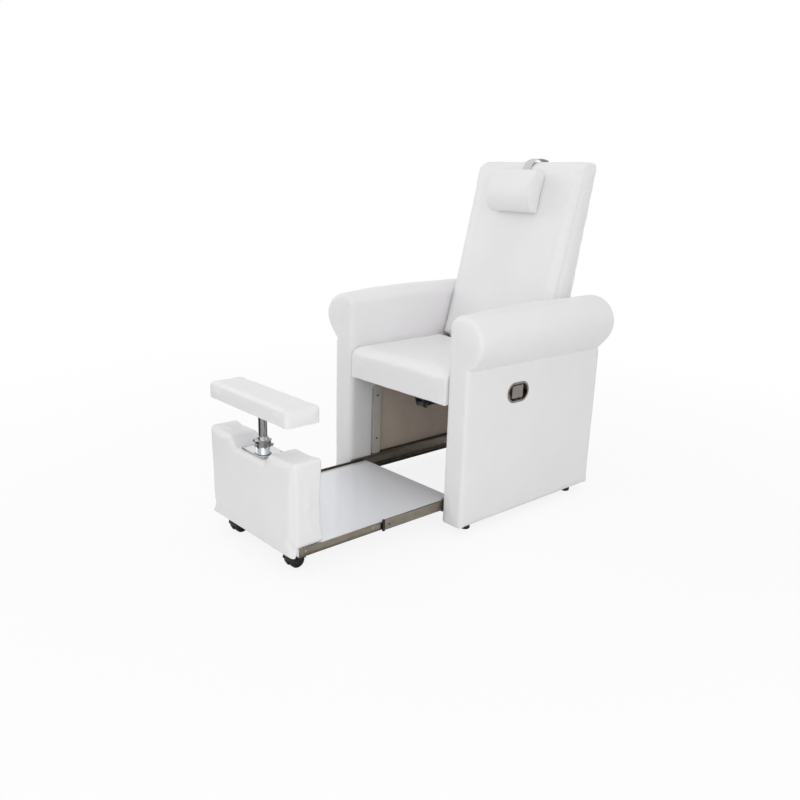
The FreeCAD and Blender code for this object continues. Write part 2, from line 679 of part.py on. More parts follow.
def make_back(parts):
    """Back pad with its plywood, rear panel and steel frame."""
    tilt = BACK_TILT - math.atan(BACK_TAPER)
    stations = [(-48.0, 6.0), (-40.0, 1.5), (-20.0, 0.0), (0.0, 0.0), (42.0, 0.0), (120.0, 0.0),
                (430.0, 0.0), (BACK_TOP - 60, 0.0), (BACK_TOP - 24, 0.8), (BACK_TOP - 11, 5.0),
                (BACK_TOP - 3, 13.0), (BACK_TOP, 22.0)]
    pad = loft([back_section(w, draw) for w, draw in stations])
    for side in (-1, 1):
        x0 = NECK_HALF if side > 0 else -NECK_HALF - 60
        wire = outline((-160, -120), [(90, -120), (90, NECK_TOP), (-160, NECK_TOP), (-160, -120)],
                       lambda p, x0=x0: back_point(x0, p[0], p[1]))
        pad = pad.cut(prism(wire, V(60, 0, 0)))

    def slab(half, d0, d1, up):
        wire = rounded(-half, half, *up, 20.0, lambda p: back_point(p[0], d0, p[1], tilt))
        depth = back_point(0, d1, 0, tilt).sub(back_point(0, d0, 0, tilt))
        return prism(wire, depth)

    rear = BACK_REAR * math.cos(math.atan(BACK_TAPER))
    board = slab(BOARD_HALF, BACK_BOARD - PLY, BACK_BOARD, BOARD_UP)
    cover = slab(COVER_HALF, BACK_BOARD, rear + 0.5, COVER_UP)
    pockets = [back_frame_bar(x, 0.3) for x in (SIDE_BAR_X, -SIDE_BAR_X - SIDE_BAR_T)]
    parts["backrest_pad"] = pad.cut(board).cut(cover).cut(Part.makeCompound(pockets))
    parts["backrest_board"] = board
    parts["backrest_rear_panel"] = cover
    parts["backrest_frame"] = back_frame()


def make_headrest(parts):
    """Half-round neck pillow and the strap that goes over the top of the back."""
    base = BACK_FRONT + BACK_CROWN + STRAP_T + 1.6
    low, high = PILLOW_LOW, PILLOW_HIGH
    mid = (low + high) / 2

    def section(x, inset):
        reach = PILLOW_DEPTH - inset
        w0, w1 = low + inset * 0.8, high - inset * 0.8

        def place(p):
            return back_point(x, -p[0], p[1])

        steps = [((base + 12, w0 + 2), (base + 22, w0 + 6)),
                 ((base + reach * 0.86, mid - 48), (base + reach, mid)),
                 ((base + reach * 0.86, mid + 48), (base + 22, w1 - 6)),
                 ((base + 12, w1 - 2), (base, w1 - 5)),
                 (base, w0 + 5)]
        return outline((base, w0 + 5), steps, place)

    wires = [section(x, d) for x, d in end_stations(PILLOW_LENGTH / 2, 12.0)]
    parts["head_pillow"] = loft(wires)
    parts["headrest_strap"] = headrest_strap()


def headrest_strap():
    """Flat strap from behind the pillow, over the top of the back and down its rear face."""
    def band(gap):
        front = -(BACK_FRONT + BACK_CROWN + 0.9 + gap)
        top = BACK_TOP + 9.0 + gap
        rear_low = BACK_REAR - BACK_TAPER * STRAP_LOW + 1.2 + gap
        rear_high = BACK_REAR - BACK_TAPER * STRAP_BEND + 1.2 + gap
        return front, top, rear_low, rear_high

    f0, t0, a0, b0 = band(0.0)
    f1, t1, a1, b1 = band(STRAP_T)
    steps = [
        (f1, STRAP_LOW), (f1, STRAP_BEND), ((f1 + 8, STRAP_BEND + 18), (f1 + 30, t1)),
        (((f1 + b1) / 2, t1 + 5), (b1 - 18, t1 - 2)), ((b1 - 3, STRAP_BEND + 20), (b1, STRAP_BEND)),
        (a1, STRAP_LOW), (a0, STRAP_LOW), (b0, STRAP_BEND), ((b0 - 4, STRAP_BEND + 18), (b0 - 18, t0 - 2)),
        (((f0 + b0) / 2, t0 + 5), (f0 + 30, t0)), ((f0 + 9, STRAP_BEND + 16), (f0, STRAP_BEND)),
        (f0, STRAP_LOW),
    ]
    wire = outline((f0, STRAP_LOW), steps, lambda p: back_point(-STRAP_W / 2, p[0], p[1]))
    return prism(wire, V(STRAP_W, 0, 0))


def make_gas_spring(parts):
    """Locking gas spring under the seat: cylinder, rod with its eye, and the release lever."""
    start = V(GAS_X, GAS_FRONT_Y, GAS_FRONT_Z)
    end = lever_end()
    line = end.sub(start)
    length = line.Length
    line.normalize()

    def along(t):
        return start.add(V(line).multiply(t))

    eye_r, heel = 11.0, 18.0
    eye = tube(eye_r, BOLT_R + RUN_FIT, 26.0, V(GAS_X - 13, start.y, start.z), X_AXIS)
    neck = rod(9.0, 12.0, along(8.0), line)
    neck = neck.cut(rod(eye_r - 0.1, 30.0, V(GAS_X - 15, start.y, start.z), X_AXIS))
    body = rod(CYLINDER_R, CYLINDER_LENGTH, along(heel), line)
    nose = Part.makeCone(CYLINDER_R, 9.0, 8.0, along(heel + CYLINDER_LENGTH), line)
    bore = rod(ROD_R + RUN_FIT, 320.0, along(45.0), line)
    parts["gas_cylinder"] = fused([eye, neck, body, nose]).cut(bore)
    shaft = rod(ROD_R, length - 127.0, along(112.0), line)
    head = rod(9.0, 33.0, along(length - 42.0), line)
    ring = rod(12.0, 16.0, V(GAS_X - 8, end.y, end.z), X_AXIS)
    hole = rod(BOLT_R + EYE_PLAY, 20.0, V(GAS_X - 10, end.y, end.z), X_AXIS)
    hub = along(length - 30.0)
    pin = rod(TRIGGER_PIN_R, 24.0, V(GAS_X - 12, hub.y, hub.z), X_AXIS)
    parts["gas_rod"] = fused([shaft, head, ring, pin]).cut(hole)
    fork = box(GAS_X - 11.4, GAS_X + 11.4, hub.y - 4, hub.y + 4, hub.z - 4, hub.z + 13)
    fork = fork.cut(box(GAS_X - 9.4, GAS_X + 9.4, hub.y - 5, hub.y + 5, hub.z - 5, hub.z + 10.5))
    hole = rod(TRIGGER_PIN_R + RUN_FIT, 30.0, V(GAS_X - 15, hub.y, hub.z), X_AXIS)
    parts["release_lever"] = fork.cut(hole)


def notch(y0, y1, inset=0.0):
    """The dip in the top of the foot box where the clamp stands, or that dip grown by inset."""
    rise, run = BOX_TOP - NOTCH_Z, NOTCH_TOP - NOTCH_FLOOR
    wider = inset * math.hypot(rise, run) / rise
    top = NOTCH_TOP + wider
    floor = NOTCH_FLOOR + wider - inset * run / rise
    z0, z1 = NOTCH_Z - inset, BOX_TOP + 1
    ramp = (top + floor) / 2
    zr = (z0 + BOX_TOP) / 2
    steps = [((-ramp + 7, z0 + 3.5), (-ramp, zr)), ((-ramp - 5, BOX_TOP - 5), (-top, BOX_TOP)), (-top, z1),
             (top, z1), (top, BOX_TOP), ((ramp + 5, BOX_TOP - 5), (ramp, zr)),
             ((ramp - 7, z0 + 3.5), (floor, z0)), (-floor, z0)]
    return prism(outline((-floor, z0), steps, in_front(y0)), V(0, y1 - y0, 0))


def make_foot_box(parts):
    """White shelf, the padded foot box on it and the timber inside."""
    parts["shelf"] = box(-SHELF_HALF, SHELF_HALF, SHELF_FRONT, SHELF_BACK, SHELF_LOW, SHELF_TOP)
    s = BOX_SKIN
    front, back = BOX_FRONT + APRON_T, BOX_BACK - s
    carcass = box(-BOX_HALF + s, BOX_HALF - s, front, back, SHELF_TOP, BOX_TOP - s)
    carcass = carcass.cut(notch(BOX_FRONT, BOX_BACK, s))
    room = box(-BOX_HALF + s + BOARD, BOX_HALF - s - BOARD, front + PLY, back - PLY,
               SHELF_TOP, NOTCH_Z - s - BOARD)
    well = rod(SLEEVE_R, 300.0, V(0, POST_Y, SHELF_TOP), Z_AXIS)
    cover = padded_box().cut(notch(BOX_FRONT - 1, BOX_BACK + 1))
    parts["footbox_cover"] = cover.cut(carcass.fuse(room)).cut(well).removeSplitter()
    parts["footbox_carcass"] = carcass.cut(room).cut(well)


def padded_box():
    """The foot box's full form: drawn in at its foot, soft round its top, with the apron in front."""
    half = SHELF_HALF - 0.2
    step = SHELF_TOP + BOX_FOOT
    foot = rounded(-half, half, BOX_FRONT, BOX_BACK, 12.0, in_plan(SHELF_TOP))
    body = rounded(-BOX_HALF, BOX_HALF, BOX_FRONT, BOX_BACK, 12.0, in_plan(step))
    body = prism(body, V(0, 0, BOX_TOP - step))
    rim = [e for e in body.Edges if min(v.Z for v in e.Vertexes) > BOX_TOP - 0.1]
    apron = box(-half + 3, half - 3, BOX_FRONT + 0.2, BOX_FRONT + APRON_T, APRON_LOW, step)
    return fused([body.makeFillet(10.0, rim), prism(foot, V(0, 0, BOX_FOOT)), apron])


def make_leg_rest(parts):
    """Socket with its chrome plate, clamp ring with spokes, post, plywood and pad."""
    z0 = NOTCH_Z
    plate = rounded(-PLATE_L / 2, PLATE_L / 2, POST_Y - PLATE_W / 2, POST_Y + PLATE_W / 2, 6.0, in_plan(z0))
    plate = prism(plate, V(0, 0, PLATE_T))
    boss = rod(BOSS_R, BOSS_H, V(0, POST_Y, z0 + PLATE_T), Z_AXIS)
    neck = rod(NECK_R, NECK_Z - z0, V(0, POST_Y, z0), Z_AXIS)
    sleeve = rod(SLEEVE_R, z0 - 110.0, V(0, POST_Y, 110.0), Z_AXIS)
    for dx in (-1, 1):
        for dy in (-1, 1):
            at = V(dx * (PLATE_L / 2 - PLATE_HOLE[0]), POST_Y + dy * (PLATE_W / 2 - PLATE_HOLE[1]), z0)
            plate = plate.cut(rod(2.6, PLATE_T, at, Z_AXIS))
    socket = fused([plate, boss, neck, sleeve])
    parts["post_socket"] = socket.cut(rod(POST_R + 0.1, 400.0, V(0, POST_Y, 100.0), Z_AXIS))
    parts["clamp_ring"] = clamp_ring()
    under = REST_LOW - FLANGE_T
    post = tube(POST_R, POST_R - 2.0, POST_LENGTH, V(0, POST_Y, under - POST_LENGTH), Z_AXIS)
    flange = rod(FLANGE_R, FLANGE_T, V(0, POST_Y, under), Z_AXIS)
    parts["leg_post"] = fused([post, flange])
    ply = box(-REST_PLY_X, REST_PLY_X, POST_Y - REST_PLY_Y, POST_Y + REST_PLY_Y, REST_LOW, REST_LOW + PLY)
    wires = [rest_section(x, d) for x, d in end_stations(REST_LENGTH / 2, 16.0)]
    parts["leg_rest_board"] = ply
    parts["leg_rest_pad"] = loft(wires).cut(ply)


def rest_section(x, inset):
    """Side outline of the leg-rest pad at x."""
    half = REST_DEPTH / 2 - 1.2 * (1 - (2 * x / REST_LENGTH) ** 2) - inset
    high = REST_HIGH - inset * 0.5
    return rounded(POST_Y - half, POST_Y + half, REST_LOW, high, 13.0, in_side(x),
                   crown=REST_CROWN, bulge=1.0, r_low=7.0)


def clamp_ring():
    """Tightening ring round the socket's neck, with short ball-ended spokes."""
    z0 = NOTCH_Z + PLATE_T + BOSS_H + 0.6
    ring = turned([(NECK_R + RUN_FIT, 0), (RING_R, 0), (RING_R, RING_H - 3), (RING_R - 3, RING_H),
                   (NECK_R + RUN_FIT, RING_H)], V(0, POST_Y, z0))
    spoke = turned([(0, 23.0), (2.8, 23.0), (2.8, 31.0), (4.8, 33.0), (4.8, 38.0), (0, 40.0)],
                   V(0, 0, 0), X_AXIS)
    pieces = [ring]
    for i in range(RING_SPOKES):
        one = spoke.copy()
        one.rotate(V(0, 0, 0), Z_AXIS, 200.0 + 360.0 * i / RING_SPOKES)
        one.translate(V(0, POST_Y, z0 + RING_H / 2))
        pieces.append(one)
    return fused(pieces)


def make_casters(parts):
    """Two swivel casters with twin wheels under the foot box."""
    for side, sign in (("left", -1), ("right", 1)):
        x = sign * CASTER_X
        half = CASTER_PLATE / 2
        plate = box(x - half, x + half, CASTER_Y - half, CASTER_Y + half, SHELF_LOW - 2.5, SHELF_LOW)
        race = rod(15.0, 3.0, V(x, CASTER_Y, SHELF_LOW - 5.5), Z_AXIS)
        bore = rod(STEM_R + RUN_FIT, 12.0, V(x, CASTER_Y, SHELF_LOW - 9), Z_AXIS)
        parts["caster_plate_%s" % side] = plate.fuse(race).cut(bore)
        axle_y = CASTER_Y + CASTER_TRAIL
        parts["caster_hood_%s" % side] = caster_hood(x, axle_y)
        for place, at in (("inner", -sign), ("outer", sign)):
            x0 = x + WEB_W / 2 + 0.4 if at > 0 else x - WEB_W / 2 - 0.4 - WHEEL_W
            parts["caster_wheel_%s_%s" % (side, place)] = caster_wheel(x0, axle_y, at)


def caster_hood(x, axle_y):
    """Hood over the wheels with the web between them, the axle and the swivel stem."""
    half = WEB_W / 2 + WHEEL_W
    inside = WHEEL_R + HOOD_GAP
    shell = tube(inside + HOOD_T, inside, 2 * half, V(x - half, axle_y, WHEEL_R), X_AXIS)
    web = rod(inside + HOOD_T, WEB_W, V(x - WEB_W / 2, axle_y, WHEEL_R), X_AXIS)
    keep_y0, keep_y1 = axle_y - WHEEL_R - 4, axle_y + WHEEL_R + 4
    upper = box(x - half - 1, x + half + 1, keep_y0, keep_y1, WHEEL_R + 2, 2 * WHEEL_R + 4)
    centre = box(x - WEB_W / 2, x + WEB_W / 2, keep_y0, keep_y1, WHEEL_R - 14, 2 * WHEEL_R + 4)
    hood = shell.common(upper).fuse(web.common(centre))
    seat = rod(13.0, 25.0, V(x, CASTER_Y, SHELF_LOW - 31), Z_AXIS)
    seat = seat.cut(rod(inside, 2 * half + 2, V(x - half - 1, axle_y, WHEEL_R), X_AXIS))
    stem = rod(STEM_R, 8.0, V(x, CASTER_Y, SHELF_LOW - 8), Z_AXIS)
    axle = rod(AXLE_R, 2 * half - 3, V(x - half + 1.5, axle_y, WHEEL_R), X_AXIS)
    return fused([hood, seat, stem, axle])


def caster_wheel(x0, axle_y, out):
    """One wheel with a soft tread edge and a dished outer face. out is the side that shows."""
    bore = AXLE_R + RUN_FIT
    dish = WHEEL_W - 4
    profile = [(bore, 0), (WHEEL_R, 0), (WHEEL_R, dish), (WHEEL_R - 3, WHEEL_W), (WHEEL_R - 7, WHEEL_W),
               (WHEEL_R - 9, dish), (bore, dish)]
    if out < 0:
        profile = [(r, WHEEL_W - x) for r, x in profile]
    return turned(profile, V(x0, axle_y, WHEEL_R), X_AXIS)


def make_release_handle(parts):
    """Oval cup let into the right arm, with the finger paddle that frees the back."""
    flange = cup_oval(0.0, CUP_DEPTH, 2.2)
    shell = cup_oval(CUP_RIM, 0.0, CUP_DEPTH)
    room = cup_oval(CUP_RIM + CUP_WALL, CUP_WALL, CUP_DEPTH + 5)
    pin_y, pin_x = CUP_Y + 30.0, ARM_OUT - 8.0
    pin_len = CUP_HEIGHT - 15.4
    pin = rod(PADDLE_PIN_R, pin_len, V(pin_x, pin_y, CUP_Z - pin_len / 2), Z_AXIS)
    parts["release_cup"] = fused([flange, shell]).cut(room).fuse(pin)
    half = PADDLE_HALF
    free = pin_y - PADDLE_REACH
    plate = rounded(free, pin_y, CUP_Z - half, CUP_Z + half, 5.0, in_side(pin_x + 1.5))
    plate = prism(plate, V(PADDLE_T, 0, 0))
    knuckle = rod(5.0, 2 * half, V(pin_x, pin_y, CUP_Z - half), Z_AXIS)
    grip = box(pin_x - 6, pin_x + 1.5, free + 1, free + 4, CUP_Z - half + 5, CUP_Z + half - 5)
    paddle = fused([plate, knuckle, grip])
    bore = rod(PADDLE_PIN_R + RUN_FIT, 80.0, V(pin_x, pin_y, CUP_Z - 40), Z_AXIS)
    parts["release_paddle"] = paddle.cut(bore)


def main():
    parts = {}
    make_arms(parts)
    make_inner_sides(parts)
    make_feet(parts)
    make_rear_panel(parts)
    make_slides(parts)
    make_seat(parts)
    make_back(parts)
    make_headrest(parts)
    make_gas_spring(parts)
    make_foot_box(parts)
    make_leg_rest(parts)
    make_casters(parts)
    make_release_handle(parts)
    os.makedirs("parts", exist_ok=True)
    low, high = V(1e9, 1e9, 1e9), V(-1e9, -1e9, -1e9)
    for name, shape in parts.items():
        shape.exportStep("parts/%s.step" % name)
        bounds = shape.BoundBox
        low = V(min(low.x, bounds.XMin), min(low.y, bounds.YMin), min(low.z, bounds.ZMin))
        high = V(max(high.x, bounds.XMax), max(high.y, bounds.YMax), max(high.z, bounds.ZMax))
        print("%-26s solids %d volume %9.1f cm3 valid %s" % (
            name, len(shape.Solids), shape.Volume / 1000.0, shape.isValid()))
    print("nodes", len(parts), "low", low, "high", high)


main()
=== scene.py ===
"""Dresses the pedicure spa chair: upholstery, boards, steel, chrome and plastics, with a plain studio."""

import json
import logging
import math
from collections.abc import Iterable, Sequence
from dataclasses import dataclass, field
from enum import Enum

import bpy
import numpy as np
from mathutils import Matrix, Vector
from mathutils.bvhtree import BVHTree
from mathutils.kdtree import KDTree


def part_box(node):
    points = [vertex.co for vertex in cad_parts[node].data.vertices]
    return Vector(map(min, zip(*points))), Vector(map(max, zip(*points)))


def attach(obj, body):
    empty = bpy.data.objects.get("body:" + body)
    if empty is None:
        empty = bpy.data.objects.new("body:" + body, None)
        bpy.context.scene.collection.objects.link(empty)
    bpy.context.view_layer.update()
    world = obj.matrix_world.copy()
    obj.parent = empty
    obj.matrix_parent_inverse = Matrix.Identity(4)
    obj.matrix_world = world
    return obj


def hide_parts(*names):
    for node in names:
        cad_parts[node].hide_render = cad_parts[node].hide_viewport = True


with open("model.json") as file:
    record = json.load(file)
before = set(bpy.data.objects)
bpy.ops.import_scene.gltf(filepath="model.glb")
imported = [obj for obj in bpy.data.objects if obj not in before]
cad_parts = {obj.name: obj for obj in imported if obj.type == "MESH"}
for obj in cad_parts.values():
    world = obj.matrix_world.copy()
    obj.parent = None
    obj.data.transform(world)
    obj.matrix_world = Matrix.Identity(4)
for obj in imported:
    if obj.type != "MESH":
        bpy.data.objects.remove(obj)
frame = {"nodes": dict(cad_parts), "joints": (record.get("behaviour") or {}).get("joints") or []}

LOG = logging.getLogger("pedicure_chair")
MM = 0.001
HEM = 8 * MM    # how far a cover is made too long below, before it is cut off flat
SEAM_STEP = 3 * MM    # spacing of the points by which a seam lies on a cover
END_POINTS = 7    # stations over the rounding at each end of a cushion
THREAD_SIDES = 6    # sides of a stitch's thread
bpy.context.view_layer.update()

Point2 = tuple[float, float]
Ring = list[Vector]


class Side(Enum):
    """A side of the chair, by the sign of X."""

    LEFT = -1
    RIGHT = 1

    @property
    def label(self) -> str:
        """Lower-case name, as the nodes carry it."""
        return self.name.lower()


class Relief(Enum):
    """How a surface's fine relief is drawn."""

    PEBBLE = "pebble"
    BRUSHED = "brushed"
    ORANGE_PEEL = "orange_peel"
    FIBRE = "fibre"


def linear(colour: str) -> tuple[float, float, float, float]:
    """Turns an sRGB hex colour into linear RGBA.

    Args:
        colour: Six hex digits after a hash sign.

    Returns:
        Linear red, green, blue and an alpha of one.
    """
    parts = [int(colour[i:i + 2], 16) / 255 for i in (1, 3, 5)]
    red, green, blue = (p / 12.92 if p <= 0.04045 else ((p + 0.055) / 1.055) ** 2.4 for p in parts)
    return (red, green, blue, 1.0)


def add_node(tree: bpy.types.NodeTree, kind: str, links: dict | None = None,
             **settings: object) -> bpy.types.Node:
    """Adds one shader node.

    Args:
        tree: The node tree that gets it.
        kind: The node's type name.
        links: Input name or number to the value or output socket that feeds it.
        settings: Properties of the node itself.

    Returns:
        The new node.
    """
    node = tree.nodes.new(kind)
    for name, value in settings.items():
        setattr(node, name, value)
    for key, value in (links or {}).items():
        if isinstance(value, bpy.types.NodeSocket):
            tree.links.new(value, node.inputs[key])
        else:
            node.inputs[key].default_value = value
    return node


def per_metre(size_mm: float) -> float:
    """Texture scale at which one cell of a pattern measures size_mm."""
    return 1.0 / (size_mm * MM)


@dataclass(frozen=True)
class Finish:
    """A surface finish: what the material is, how it was made and what that gives the eye.

    Args:
        name: Name of the material.
        colour: Main colour.
        shade: Colour of the slight variation in it.
        roughness: Middle roughness.
        spread: How far the roughness wanders either way.
        metallic: One for bare metal.
        ior: Index of refraction, or None for a metal.
        relief: Kind of fine relief.
        grain_mm: Size of one grain of the relief.
        depth_mm: Height of the relief.
        patch_mm: Size of the patches in which colour and roughness wander.
        coat: Weight of a clear coat.
        coat_roughness: Roughness of that coat.
        crease_mm: Spacing of soft creases, or zero for none.
        crease_depth_mm: Height of those creases.
    """

    name: str
    colour: str
    shade: str
    roughness: float
    spread: float = 0.04
    metallic: float = 0.0
    ior: float | None = 1.5
    relief: Relief = Relief.ORANGE_PEEL
    grain_mm: float = 3.0
    depth_mm: float = 0.05
    patch_mm: float = 60.0
    coat: float = 0.0
    coat_roughness: float = 0.1
    crease_mm: float = 0.0
    crease_depth_mm: float = 0.0

    def make(self) -> bpy.types.Material:
        """Builds the material.

        Returns:
            The new material, with a Principled shader and procedural colour, roughness and relief.
        """
        material = bpy.data.materials.new(self.name)
        material.use_nodes = True
        tree = material.node_tree
        shader = tree.nodes["Principled BSDF"]
        place = add_node(tree, "ShaderNodeTexCoord").outputs["Object"]
        patches = add_node(tree, "ShaderNodeTexNoise",
                           {"Vector": place, "Scale": per_metre(self.patch_mm), "Detail": 4.0})
        mixed = add_node(tree, "ShaderNodeMix", {0: patches.outputs["Fac"], 6: linear(self.colour),
                                                 7: linear(self.shade)}, data_type="RGBA")
        rough = add_node(tree, "ShaderNodeMapRange",
                         {"Value": patches.outputs["Fac"], "From Min": 0.3, "From Max": 0.7,
                          "To Min": max(self.roughness - self.spread, 0.02),
                          "To Max": min(self.roughness + self.spread, 1.0)})
        tree.links.new(mixed.outputs[2], shader.inputs["Base Color"])
        tree.links.new(rough.outputs["Result"], shader.inputs["Roughness"])
        shader.inputs["Metallic"].default_value = self.metallic
        if self.ior is not None:
            shader.inputs["IOR"].default_value = self.ior
        if self.coat:
            shader.inputs["Coat Weight"].default_value = self.coat
            shader.inputs["Coat Roughness"].default_value = self.coat_roughness
        tree.links.new(self._relief(tree, place), shader.inputs["Normal"])
        return material

    def _relief(self, tree: bpy.types.NodeTree, place: bpy.types.NodeSocket) -> bpy.types.NodeSocket:
        """Adds the fine relief and the creases.

        Args:
            tree: The material's node tree.
            place: Object coordinates.

        Returns:
            The normal that the shader takes.
        """
        scale = per_metre(self.grain_mm)
        if self.relief is Relief.PEBBLE:
            cells = add_node(tree, "ShaderNodeTexVoronoi", {"Vector": place, "Scale": scale},
                             feature="SMOOTH_F1")
            height = cells.outputs["Distance"]
        else:
            stretches = {Relief.BRUSHED: (1.0, 0.04, 1.0), Relief.FIBRE: (1.0, 1.0, 0.08)}
            stretch = stretches.get(self.relief, (1.0, 1.0, 1.0))
            along = add_node(tree, "ShaderNodeMapping", {"Vector": place, "Scale": stretch})
            grain = add_node(tree, "ShaderNodeTexNoise", {"Vector": along.outputs["Vector"], "Scale": scale,
                                                          "Detail": 3.0})
            height = grain.outputs["Fac"]
        bump = add_node(tree, "ShaderNodeBump", {"Height": height, "Distance": self.depth_mm * MM,
                                                 "Strength": 1.0})
        if not self.crease_mm:
            return bump.outputs["Normal"]
        waves = add_node(tree, "ShaderNodeTexNoise", {"Vector": place, "Scale": per_metre(self.crease_mm),
                                                      "Detail": 3.0, "Distortion": 0.6})
        crease = add_node(tree, "ShaderNodeBump", {"Height": waves.outputs["Fac"], "Strength": 1.0,
                                                   "Distance": self.crease_depth_mm * MM,
                                                   "Normal": bump.outputs["Normal"]})
        return crease.outputs["Normal"]


# PVC-coated upholstery cloth, calendered and embossed with a fine pebble: soft satin highlights.
# The emboss is about 1 mm across on the real cloth and drawn coarser, or it wouldn't show.
LEATHER = Finish("pvc_upholstery_white", "#F1F0F1", "#EAE9EA", 0.42, 0.05, relief=Relief.PEBBLE,
                 grain_mm=2.4, depth_mm=0.13, patch_mm=150.0, crease_mm=42.0, crease_depth_mm=0.9)
# The same cloth as a stitched strap, greyer and duller than the cover.
STRAP_CLOTH = Finish("pvc_strap_white", "#D3D4D6", "#C5C6C9", 0.5, 0.05, relief=Relief.PEBBLE,
                     grain_mm=2.2, depth_mm=0.14, patch_mm=40.0)
# Bonded polyester thread: matt, a shade brighter than the cloth.
THREAD = Finish("polyester_thread", "#F4F4F3", "#E4E4E2", 0.62, 0.05, ior=1.55, relief=Relief.FIBRE,
                grain_mm=0.8, depth_mm=0.05, patch_mm=5.0)
# Melamine-faced board, pressed smooth: a hard white gloss that mirrors what stands on it.
MELAMINE = Finish("melamine_board_white", "#F1F2F6", "#EBEDF1", 0.14, 0.03, ior=1.57, grain_mm=5.0,
                  depth_mm=0.01, patch_mm=180.0, coat=0.4, coat_roughness=0.05)
# Cold-rolled steel with clear zinc: warm grey, drawn lines along its length.
ZINC_STEEL = Finish("zinc_plated_steel", "#A39C90", "#857D72", 0.33, 0.08, metallic=1.0, ior=None,
                    relief=Relief.BRUSHED, grain_mm=1.5, depth_mm=0.03, patch_mm=50.0)
# Polished chromium over nickel: a cool mirror with faint wipe marks.
CHROME = Finish("polished_chrome", "#DADBDD", "#CDCFD2", 0.06, 0.03, metallic=1.0, ior=None,
                grain_mm=6.0, depth_mm=0.004, patch_mm=30.0)
# Chromium on turned steel, its colour darkened to paint in the shade of the dark surroundings it mirrors: a
# smoky mirror.
SHADE_DARKENED_CHROME = Finish("chrome_with_painted_shade", "#A3A19F", "#8B8987", 0.09, 0.04, metallic=1.0, ior=None,
                     relief=Relief.BRUSHED, grain_mm=2.0, depth_mm=0.008, patch_mm=25.0)
# Die-cast zinc with a dark nickel plate: a warm grey mirror, a little dulled by fingers.
NICKEL = Finish("nickel_plated_die_casting", "#A39E97", "#8B857D", 0.2, 0.06, metallic=1.0, ior=None,
                grain_mm=2.5, depth_mm=0.02, patch_mm=18.0)
# Powder-coated mild steel: black with a fine orange peel.
BLACK_STEEL = Finish("powder_coated_steel_black", "#1B1B1D", "#26262A", 0.42, 0.06, grain_mm=1.6,
                     depth_mm=0.05, patch_mm=40.0)
# Moulded polyamide, spark-eroded surface: matt black, slightly grey where it catches light.
NYLON = Finish("moulded_nylon_black", "#121213", "#1B1B1D", 0.46, 0.06, ior=1.53, grain_mm=1.2,
               depth_mm=0.05, patch_mm=25.0)
# Fibreboard lining with a taupe foil: dull, fine upright grain; its colour is painted far paler than the
# foil, as painted light for the bay.
LINING_WITH_PAINTED_LIGHT = Finish("taupe_lining_with_painted_light", "#DDCEC0", "#C9BAAB", 0.55, 0.08, relief=Relief.FIBRE,
                grain_mm=4.0, depth_mm=0.12, patch_mm=70.0)
# Melamine edge batten: light grey, half matt.
BATTEN_GREY = Finish("melamine_batten_grey", "#CFCCC6", "#C2BFB9", 0.46, 0.05, relief=Relief.FIBRE,
                     grain_mm=3.0, depth_mm=0.06, patch_mm=60.0)
# Phenolic-faced board: almost black brown, faint sheen.
DARK_BOARD = Finish("phenolic_board_dark", "#2B2623", "#211D1B", 0.45, 0.06, relief=Relief.FIBRE,
                    grain_mm=5.0, depth_mm=0.06, patch_mm=80.0)
# Planed pine and poplar ply inside the frame: pale, fibrous, unfinished.
TIMBER = Finish("planed_softwood", "#C7A677", "#B08C5E", 0.68, 0.08, relief=Relief.FIBRE, grain_mm=3.0,
                depth_mm=0.18, patch_mm=30.0)


class Palette:
    """The finished materials, one for each finish, made once."""

    def __init__(self) -> None:
        """Starts with nothing made."""
        self._made: dict[str, bpy.types.Material] = {}

    def get(self, finish: Finish) -> bpy.types.Material:
        """Gives a finish's material, making it at first use."""
        if finish.name not in self._made:
            self._made[finish.name] = finish.make()
        return self._made[finish.name]


PALETTE = Palette()


def coordinates(mesh: bpy.types.Mesh) -> np.ndarray:
    """Reads a mesh's vertex places as an array of rows."""
    flat = np.empty(len(mesh.vertices) * 3)
    mesh.vertices.foreach_get("co", flat)
    return flat.reshape(-1, 3)


def normals(mesh: bpy.types.Mesh) -> np.ndarray:
    """Reads a mesh's vertex normals as an array of rows."""
    flat = np.empty(len(mesh.vertices) * 3)
    mesh.vertices.foreach_get("normal", flat)
    return flat.reshape(-1, 3)


def set_coordinates(mesh: bpy.types.Mesh, rows: np.ndarray) -> None:
    """Writes a mesh's vertex places."""
    mesh.vertices.foreach_set("co", rows.astype(np.float32).ravel())
    mesh.update()


def add_object(name: str, data: bpy.types.ID) -> bpy.types.Object:
    """Puts a mesh, lamp or camera into the scene as an object."""
    piece = bpy.data.objects.new(name, data)
    bpy.context.scene.collection.objects.link(piece)
    return piece


def shade_smooth(piece: bpy.types.Object) -> None:
    """Lets the light run smoothly over a piece's faces."""
    piece.data.polygons.foreach_set("use_smooth", [True] * len(piece.data.polygons))


def new_object(name: str, points: Sequence[Vector], faces: Sequence[Sequence[int]]) -> bpy.types.Object:
    """Makes a mesh object in the scene.

    Args:
        name: The piece's name.
        points: Vertex places in metres.
        faces: Vertex numbers of each face.

    Returns:
        The new object.
    """
    mesh = bpy.data.meshes.new(name)
    mesh.from_pydata([tuple(p) for p in points], [], [tuple(f) for f in faces])
    mesh.update()
    return add_object(name, mesh)


def skin_rings(name: str, rings: Sequence[Ring]) -> bpy.types.Object:
    """Skins rings of equal point counts into one closed mesh.

    Args:
        name: The piece's name.
        rings: The rings, in order along the form.

    Returns:
        The new object, with both ends filled.
    """
    count = len(rings[0])
    points = [p for ring in rings for p in ring]
    faces = []
    for a in range(0, len(points) - count, count):
        b = a + count
        for j in range(count):
            k = (j + 1) % count
            faces.append((a + j, a + k, b + k, b + j))
    faces.append(tuple(reversed(range(count))))
    faces.append(tuple(range(len(points) - count, len(points))))
    return new_object(name, points, faces)


